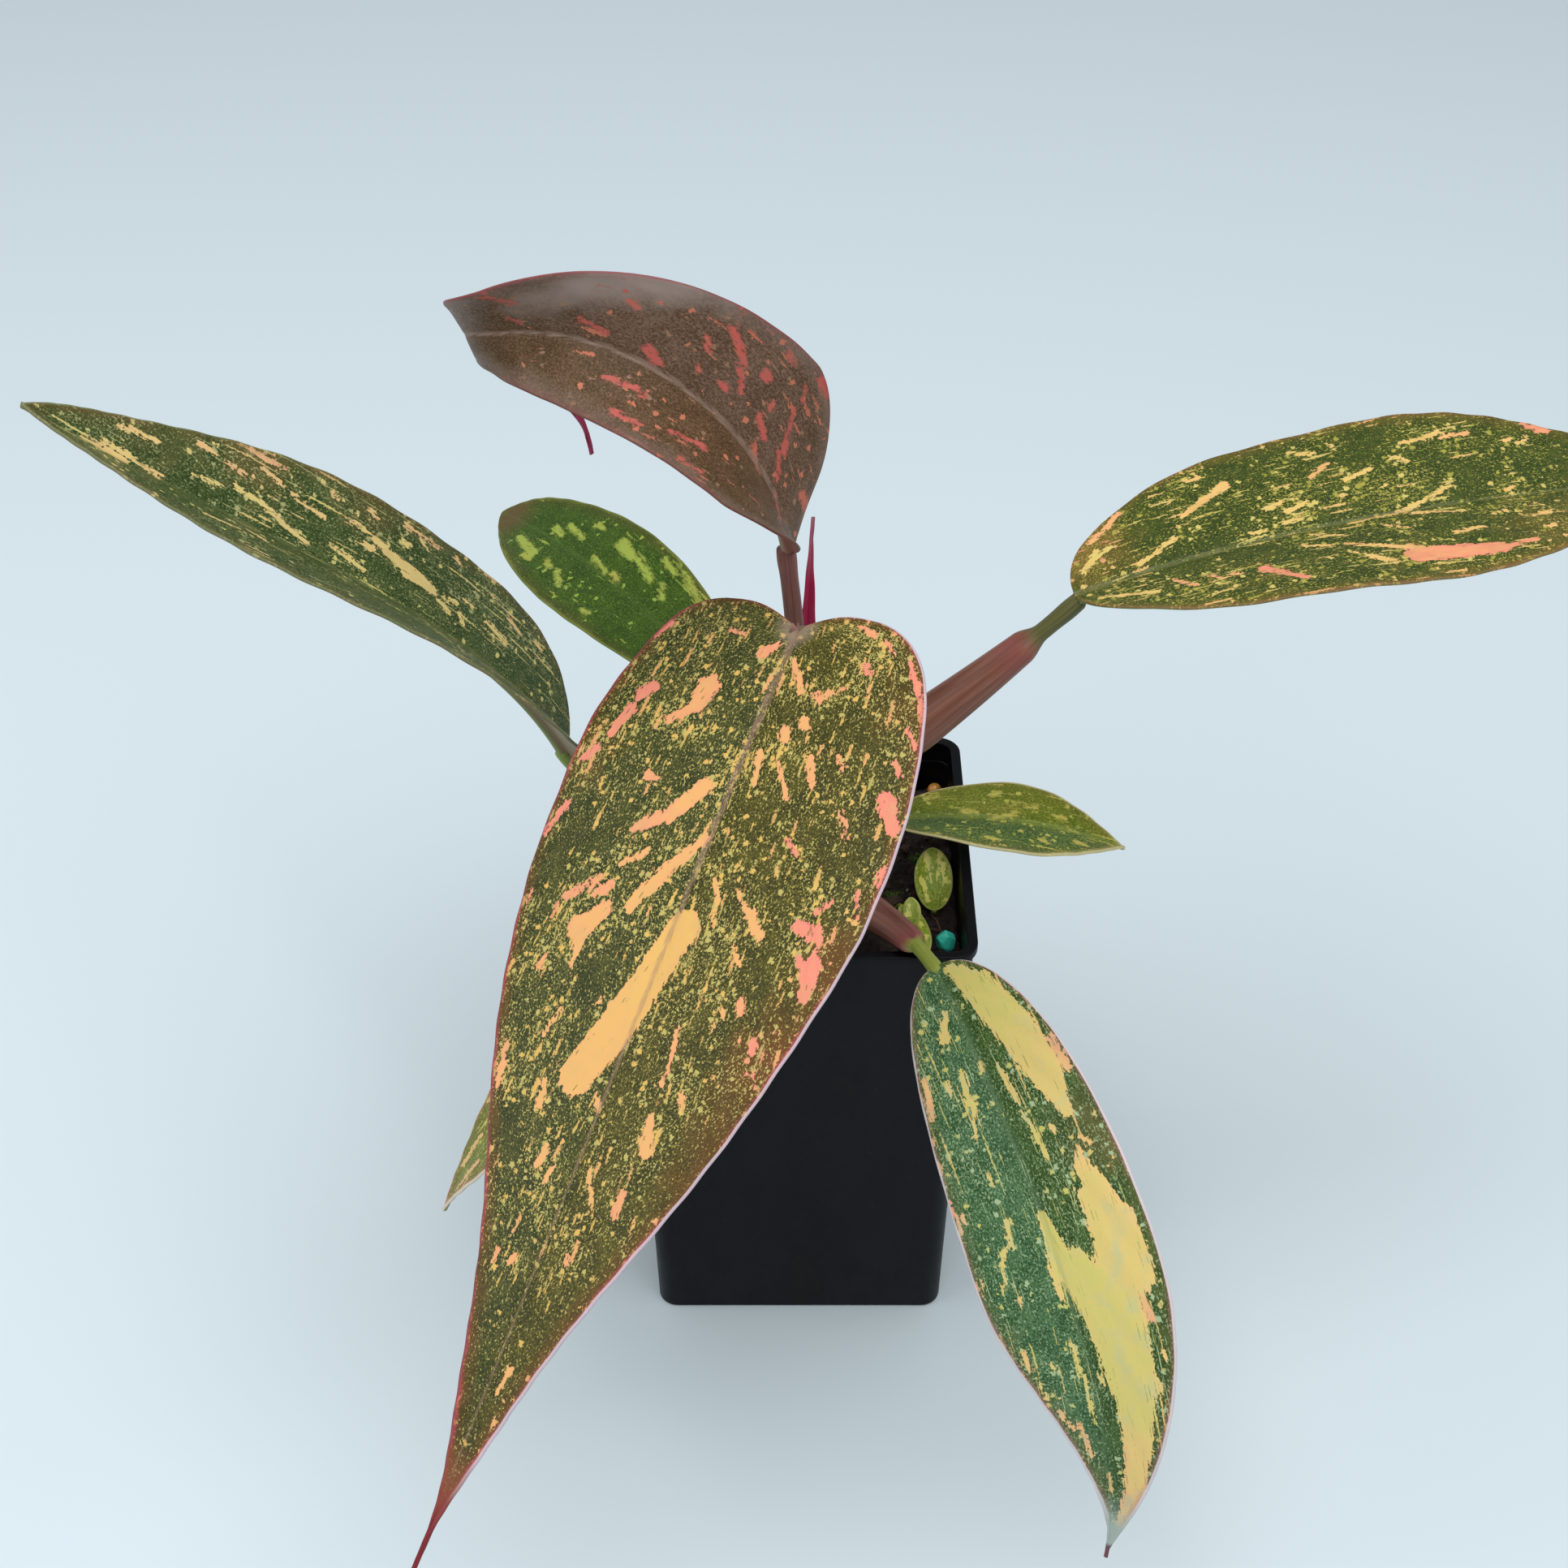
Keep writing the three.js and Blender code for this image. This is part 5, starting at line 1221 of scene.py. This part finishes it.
# Lower right leaf: hangs over the pot's right front corner from a short sheathed petiole. One half
# is blue-green, the other is for the most part without green.
leaf_lower_right = {
    "name": "leaf_lower_right", "base": (24.4, -39, 110.6), "length": 122.8,
    "heading": (-70, 11.7, 0.7), "rise": (-8.8, -66.6, -17.4), "roll": (24.1, 30.7),
    "left": 18, "right": 15.6, "widest": 0.493, "shoulder": 2.17, "taper": (1.95, 1.58, 2.7),
    "fold": 6, "curl": 0.34, "wave": (0.4, 3),
    "stalk": (
        (1.4, -1.6, 101.4), (8, -12, 104), (14.5, -21.5, 106.8), (19.6, -29.5, 108.9), (22, -34.2, 110),
    ),
    "radius": (1.6, 1.3), "sheath": (3.6, 3.8, 2.6, 0.66), "veins": 4.5,
    "streaks": (
        (2, 2.4, 8.1, 5.3, 2.1, 5.9, 0.1), (8.1, 5.3, 17.9, 8.1, 6.1, 7.3, 0.12),
        (17.9, 8.1, 28.2, 10.2, 7.2, 6, 0.3), (28.2, 10.2, 35.3, 11, 5.7, 2, 0.3),
        (22.7, 13.3, 28.4, 13.9, 1.4, 1.7, 0.8), (40.9, 10.4, 46, 9.7, 0.8, 3.4, 0.45),
        (47, 10, 54, 11.4, 5.6, 7.8, 0.3), (54, 11.4, 61.9, 11.2, 8.9, 10, 0.3),
        (49.9, 0, 59.6, 0.5, 2, 4.8, 0.08), (59.7, 2.7, 68.9, 6, 7, 8.4, 0.08),
        (66.1, 6.8, 77.8, 7.3, 11.7, 9.2, 0.12), (77.8, 7.3, 89.6, 6.6, 9.2, 5.9, 0.12),
        (89.6, 6.6, 101.7, 4.9, 5.6, 3.9, 0.5), (101.7, 4.9, 111.5, 2, 3.7, 2.3, 0.6),
        (61.5, 11.9, 70, 13.2, 1.9, 1.7, 0.85), (50.1, 13.2, 55, 14.7, 1.7, 1.4, 0.85),
        (52.7, 7.3, 53.1, 9, 1.1, 1.1, 0.2), (9.6, -2.3, 14.3, -4.4, 1.2, 2, 0.25),
        (21, -3.8, 27.1, -4.7, 0.9, 1.6, 0.1), (27.4, -4.2, 33, -6.1, 1.6, 1, 0.15),
        (19.6, -10.4, 26.8, -11.9, 1.2, 1.2, 0.6), (32.3, 3.4, 37.5, 4.4, 1.3, 1.1, 0.08),
        (37.5, 4.4, 40.6, 4.7, 0.8, 0.3, 0.08), (22.8, 2.7, 30.3, 3.4, 0.6, 0.9, 0.2),
        (20.8, -0.2, 22.4, -0.2, 0.9, 0.9, 0.2), (22.2, -7, 23.8, -7.1, 0.7, 0.7, 0.2),
        (48.5, -6.1, 53.1, -7.1, 1.3, 0.6, 0.1), (53.5, -8.7, 60.8, -10.8, 1.1, 0.6, 0.12),
        (45, -13.4, 46.4, -13.4, 0.9, 0.9, 0.5), (57.7, -14.5, 60.4, -14.9, 0.6, 0.7, 0.5),
        (62.2, -8.5, 63.9, -8.6, 0.7, 0.7, 0.4), (58.4, -1.5, 64, -1.4, 1, 1.4, 0.35),
        (72.3, -2.1, 80.3, -1.2, 0.7, 0.7, 0.05), (80.3, -1.2, 88.7, -1.1, 0.7, 0.6, 0.05),
        (73, -10.7, 76.8, -10.3, 1, 1.3, 0.5), (76, -6.4, 77.2, -5.8, 1.1, 1.1, 0.1),
        (86.1, -7, 89.6, -5.1, 1, 1.1, 0.55), (88.6, -3.9, 95.5, -2.5, 0.7, 0.6, 0.6),
        (99.7, 0.2, 103.3, 0.4, 0.7, 0.7, 0.5), (79.4, -9.5, 82.9, -8.8, 0.7, 0.7, 0.25),
        (78.9, 1.6, 80.6, 1.9, 0.6, 0.6, 0.2), (39.6, 11.5, 41.2, 12.7, 1, 0.8, 0.5),
        (36.1, 7.5, 37.4, 7.5, 0.6, 0.6, 0.3), (41.5, -14.7, 47.6, -14.7, 1, 1.3, 0.8),
        (29.4, -13.7, 30.8, -13.5, 0.7, 0.7, 0.7), (39.9, -6.3, 42, -6.3, 0.6, 0.7, 0.2),
        (34.8, -14.1, 36.5, -14.1, 0.6, 0.6, 0.5), (78.9, 9.8, 81.4, 11.9, 2, 1.7, 0.35),
        (75.5, 13.9, 76.7, 14.2, 0.7, 0.7, 0.5),
    ),
    "islands": (
        (49.8, 5, 55.5, 6.6, 2.8, 2.2), (55.5, 6.6, 57.8, 6.5, 1.4, 0.6), (43, 3.8, 46.3, 7.9, 1.7, 2.3),
    ),
    "zones": ((5, -12, 12, 0.3), (40, 15, 10, 0.5), (70, -14, 8, 0.3)),
}

# Blade: blue-green on one half and yellow-green blushed with salmon on the other
blade_look = {
    "ground": ("#2a4218", "#55703c"), "half": ("#2c4e2a", "#60845a"),
    "zone": "#6e6236", "fleck": "#b0c496", "tints": ("#d2ca70", "#ecc67c", "#ee9c84"),
    "crowd": 0.44, "big": 0.3, "small": 0.6,
    "rib": "#6a8462", "rib_share": 0.3, "line": "#b07070", "line_share": 0.5,
    "rim": "#e2d4d8", "rim_share": 0.85,
    "under": "#8a9660", "edge": 0.4, "crumbs": 0.3, "cloudy": 0.55,
    "tip": (("#a9b8ac", 104, 113), ("#6a1236", 117.5, 119.5)),
}
# Petiole: pink-brown sheath, yellow-green beyond it
petiole_look = {
    "sheath": ("#6e443a", "#96685c"), "stalk": ("#7c8a38", "#a0a648"),
    "pink": "#94484c", "end": 0.66,
}
grow_leaf(leaf_lower_right, blade_look, petiole_look)


# Lower left leaf: hidden behind the front leaf but for its tip. It hangs over the pot's left front
# corner from a short petiole.
leaf_lower_left = {
    "name": "leaf_lower_left", "base": (-20, -37.6, 114.4), "length": 77.6,
    "heading": (-160, -7.1, -2.3), "rise": (-27.7, -46.3, 8.8), "roll": (2.2, -0.8),
    "left": 12.4, "right": 11.2, "widest": 0.4, "shoulder": 2.2, "taper": (1.8, 1.08),
    "fold": 6, "curl": 0.33, "wave": (0.3, 2.5),
    "stalk": ((-1.4, -1.6, 100.6), (-7, -12, 104.5), (-12.5, -22.5, 110), (-16.6, -31.5, 113.8)),
    "radius": (1.4, 1.1), "sheath": (2.8, 2.4, 1.8, 0.5), "veins": 3,
    "streaks": (
        (12, 4, 22, 6, 1.5, 2.2, 0.2), (30, -5, 40, -6, 1.6, 1.2, 0.3), (44, 4, 54, 4, 1.4, 1, 0.3),
        (58, -2, 66, -1.5, 1.2, 0.8, 0.3), (20, -7, 27, -8, 1, 1.2, 0.6), (60, 3, 70, 1.5, 1, 0.7, 0.5),
    ),
    "zones": ((40, 0, 20, 0.3),),
}

# Blade: yellow-green with pink edges
blade_look = {
    "ground": ("#5c641e", "#7c8230"),
    "zone": "#8a6a40", "fleck": "#aeac4c", "tints": ("#d8cc70", "#e8b880", "#e89a88"),
    "crowd": 0.5, "big": 0.5,
    "rib": "#8a8a5a", "line": "#c07a70", "line_share": 0.6,
    "rim": "#dcd0bc", "rim_share": 0.8,
    "under": "#8a9660", "edge": 0.4,
}
# Petiole: olive green
petiole_look = {
    "sheath": ("#7a6a44", "#8d8450"), "stalk": ("#6a8236", "#8a9a48"),
    "pink": "#b07a70", "end": 0.5,
}
grow_leaf(leaf_lower_left, blade_look, petiole_look)


# Crown bract: the crimson sheath leaf that wrapped the crown leaf in bud, now withering beside its
# petiole. It is thin enough for light to pass.
crown_bract = {
    "name": "crown_bract", "base": (0.6, 4.4, 134.8), "length": 42,
    "heading": (75, 0, 0), "rise": (92, -18, 0), "roll": (25, 30),
    "left": 2.4, "right": 2.4, "widest": 0.15, "shoulder": 2, "taper": (1.4, 1),
    "fold": 30, "curl": -3, "wave": (0.1, 1),
    "radius": (0.4, 0.3),
}
s = np.linspace(0, 1, 101)[:, None]
share = np.linspace(-1, 1, 41)[None, :] + 0 * s
side = np.where(share < 0, -1, 1)
middle, x, y = blade_layer(crown_bract, s, np.abs(share), side)
normal = np.cross(np.gradient(middle, axis=0), np.gradient(middle, axis=1))
normal /= np.linalg.norm(normal, axis=-1, keepdims=True) + 1e-12
thick = 0.22 * np.sqrt(1 - share**8)[..., None] + 0.05 * np.cos(share * 40)[..., None]
thick = normal * thick.clip(0.04, None)
bract_rings = list(np.concatenate([middle + thick, (middle - thick)[:, ::-1]], 1))
bract_points, bract_faces = skinned(bract_rings)

# Bract skin: translucent crimson, paler towards the dry tip
thin = {"IOR": 1.4, "Roughness": 0.38, "Subsurface Weight": 0.25, "Subsurface Scale": MM}
bract_skin, tree, shader = surface_of("bract_crimson", thin)
place = millimetres(tree)
high = node(tree, "SeparateXYZ", {0: place}).node.outputs["Z"]
low = node(tree, "MapRange", {"Value": high, "From Min": 176, "From Max": 164})
thread = node(tree, "VectorMath", {0: place, 1: (3, 3, 0.12)}, operation="MULTIPLY")
thread = node(tree, "TexNoise", {"Vector": thread, "Scale": 1, "Detail": 3})
tone = node(tree, "Mix", {0: thread, 6: hue("#8e3450"), 7: hue("#c08090")}, data_type="RGBA")
tone = node(tree, "Mix", {0: low, 6: tone, 7: hue("#9c1040")}, data_type="RGBA")
tree.links.new(tone, shader["Base Color"])
bract = piece("crown_bract_fine", bract_points, bract_faces, [bract_skin])
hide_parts("crown_bract")

# Offset: a side shoot in the pot's right front corner with three small glossy leaves of its own. Each
# comes up out of the soil on a petiole of its own.
offsets = [
    {
        "name": "offset_leaf_round", "base": (26.2, -9.4, 97.2), "length": 12.5,
        "heading": (92, 0, 0), "rise": (58, -30, 0), "roll": (0, 0),
        "left": 3.9, "right": 3.9, "taper": (2.1, 0.6),
        "fold": 8, "curl": 9,
        "stalk": ((26.4, -6.2, 90), (26.3, -7.6, 94.4)),
        "radius": (0.7, 0.5), "sheath": (0.8, 0.8, 0.7, 0.5),
        "streaks": (
            (3, 1.5, 6, 2.2, 0.8, 1.2, 0), (6, -2, 9, -2, 0.9, 0.7, 0), (8, 1, 10, 1, 0.6, 0.5, 0.2),
        ),
    },
    {
        "name": "offset_leaf_small", "base": (21.4, -18.4, 101.4), "length": 5.6,
        "heading": (95, 0, 0), "rise": (52, -20, 0), "roll": (0, 0),
        "left": 1.8, "right": 1.8, "taper": (2.1, 0.6),
        "fold": 6, "curl": 12,
        "stalk": ((17.8, -13.6, 90), (17.8, -14.2, 94.6), (18.2, -15.8, 98.8), (19.8, -17.9, 101)),
        "radius": (0.6, 0.45), "sheath": (0.6, 0.6, 0.5, 0.5),
        "streaks": ((2, 0.5, 4, 0.8, 0.6, 0.4, 0),),
    },
    {
        "name": "offset_leaf_front", "base": (20, -9.6, 98.6), "length": 14,
        "heading": (-73, 2, 0), "rise": (14, -34, 0), "roll": (-12, 0),
        "left": 2.7, "right": 2.7, "taper": (2, 0.8),
        "fold": 10, "curl": 5,
        "stalk": ((18.6, -6.4, 90), (18.9, -7.2, 94.5), (19.4, -8.4, 97.4)),
        "radius": (0.7, 0.5), "sheath": (0.8, 0.8, 0.7, 0.5),
        "streaks": ((4, 1, 7, 1.4, 0.8, 0.6, 0), (8, -1, 11, -0.8, 0.6, 0.5, 0.2)),
    },
]
# Young blade: glossy yellow-green
blade_look = {
    "ground": ("#5a7420", "#86962e"),
    "zone": "#94a038", "fleck": "#b6bc50", "tints": ("#d8d468", "#dcd070", "#e0c080"),
    "crowd": 0.4, "big": 0.4,
    "rib": "#a8b458", "line": "#b8b868", "line_share": 0.4,
    "rim": "#c8c880", "rim_share": 0.4,
    "under": "#8a9a48", "edge": 0.4, "rough": 0.28,
}
# Young petiole: pale green
petiole_look = {
    "sheath": ("#7a8a34", "#98a448"), "stalk": ("#7a8a34", "#98a448"),
    "pink": "#a89060", "end": 0.5,
}
skins = [blade_skin("offset_blade", blade_look), petiole_skin("offset_petiole", petiole_look)]
for leaf in offsets:
    leaf_piece({**leaf, "widest": 0.5, "shoulder": 2, "wave": (0.1, 1), "veins": 1.5}, skins, cell=0.15)

# Feed crystal: a broken grain of blue-green plant food, glassy on its fresh faces. It was sprinkled on
# the soil and lies beside the offset.
CRYSTAL_PLACE = (28, -18.4, 97.3)
CRYSTAL_HALF = (2.1, 2, 2.6)
FACETS = 16
FACET_PLACE = 0.86
chips = bmesh.new()
bmesh.ops.create_icosphere(chips, subdivisions=3, radius=1)
facets = []
while len(facets) < FACETS:
    way = rng.normal(size=3)
    way /= np.linalg.norm(way)
    if all(way.dot(other) < 0.8 for other in facets):
        facets.append(way)
for vert in chips.verts:
    for way in facets:
        over = np.array(vert.co).dot(way) - FACET_PLACE
        if over > 0:
            vert.co = Vector(np.array(vert.co) - over * way)
crystal_points = np.array([v.co for v in chips.verts]) * CRYSTAL_HALF + CRYSTAL_PLACE
crystal_faces = [[v.index for v in f.verts] for f in chips.faces]
chips.free()

# Crystal: saturated turquoise that lets light a little way in
glassy = {"IOR": 1.5, "Roughness": 0.22, "Subsurface Weight": 0.3, "Subsurface Scale": 1.5 * MM}
crystal_skin = mottled("feed_blue_green", glassy, ("#12a894", "#58e6cc"), 0.9, 3)
crystal = piece("feed_crystal_fine", crystal_points, crystal_faces, [crystal_skin], crease=12)
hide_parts("feed_crystal")

# Feed bead: a round grain of slow-release feed in its amber resin coat. It lies loose on the soil in
# the pot's far right corner.
BEAD_PLACE = (28.2, 28.4, 96.5)
BEAD_RADIUS = 1.5
shape, shape_faces = pebble_shape(4)
dimples = np.array([noise.noise(Vector(p) * 1.7) for p in shape])[:, None]
bead_points = shape * (1 + 0.05 * dimples) * BEAD_RADIUS + BEAD_PLACE

# Resin coat: amber and glossy
resin = {"IOR": 1.52, "Roughness": 0.25, "Coat Weight": 0.4}
amber = mottled("feed_amber", resin, ("#a8641e", "#d8a04a"), 0.8, 3)
bead = piece("feed_bead_fine", bead_points, shape_faces.tolist(), [amber])
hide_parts("feed_bead")

# Studio: a pale floor that reaches past the frame, a wide soft light overhead and in front, a weaker
# one from the left and a pale sky
FLOOR_HALF = 3
LIT_PLACE = Vector((0, 0, 0.12))
floor_mesh = bpy.data.meshes.new("floor")
corners = [(x * FLOOR_HALF, y * FLOOR_HALF, 0) for x, y in ((-1, -1), (1, -1), (1, 1), (-1, 1))]
floor_mesh.from_pydata(corners, [], [(0, 1, 2, 3)])
floor_skin, tree, shader = surface_of("floor_paper", {"Base Color": hue("#dae7ec"), "Roughness": 0.9})
floor_mesh.materials.append(floor_skin)
floor = bpy.data.objects.new("floor", floor_mesh)
bpy.context.scene.collection.objects.link(floor)

for name, place, size, power in (
    ("light_over", (0.15, -0.35, 1.25), 1.3, 12.5),
    ("light_left", (-1.1, -0.25, 0.7), 0.9, 4.5),
):
    light = bpy.data.lights.new(name, "AREA")
    light.size = size
    light.energy = power
    lamp = bpy.data.objects.new(name, light)
    lamp.location = place
    lamp.rotation_euler = (LIT_PLACE - Vector(place)).to_track_quat("-Z", "Y").to_euler()
    bpy.context.scene.collection.objects.link(lamp)
sky = bpy.data.worlds.new("sky")
sky.use_nodes = True
sky.node_tree.nodes["Background"].inputs["Color"].default_value = hue("#e6ebf2")
sky.node_tree.nodes["Background"].inputs["Strength"].default_value = 0.5
bpy.context.scene.world = sky
bpy.context.scene.view_settings.view_transform = "Standard"

# Camera: a phone held in front of the plant and above it, looking down over the front leaf
SENSOR = 36
LENS = 52.17
CAMERA_PLACE = (-0.0033, -0.33705, 0.4002)
CAMERA_TILT = 50.42
camera_data = bpy.data.cameras.new("camera")
camera_data.sensor_width = SENSOR
camera_data.lens = LENS
camera_data.clip_start = 0.01
camera = bpy.data.objects.new("camera", camera_data)
camera.location = CAMERA_PLACE
camera.rotation_euler = (math.radians(CAMERA_TILT), 0, 0)
bpy.context.scene.collection.objects.link(camera)
bpy.context.scene.camera = camera
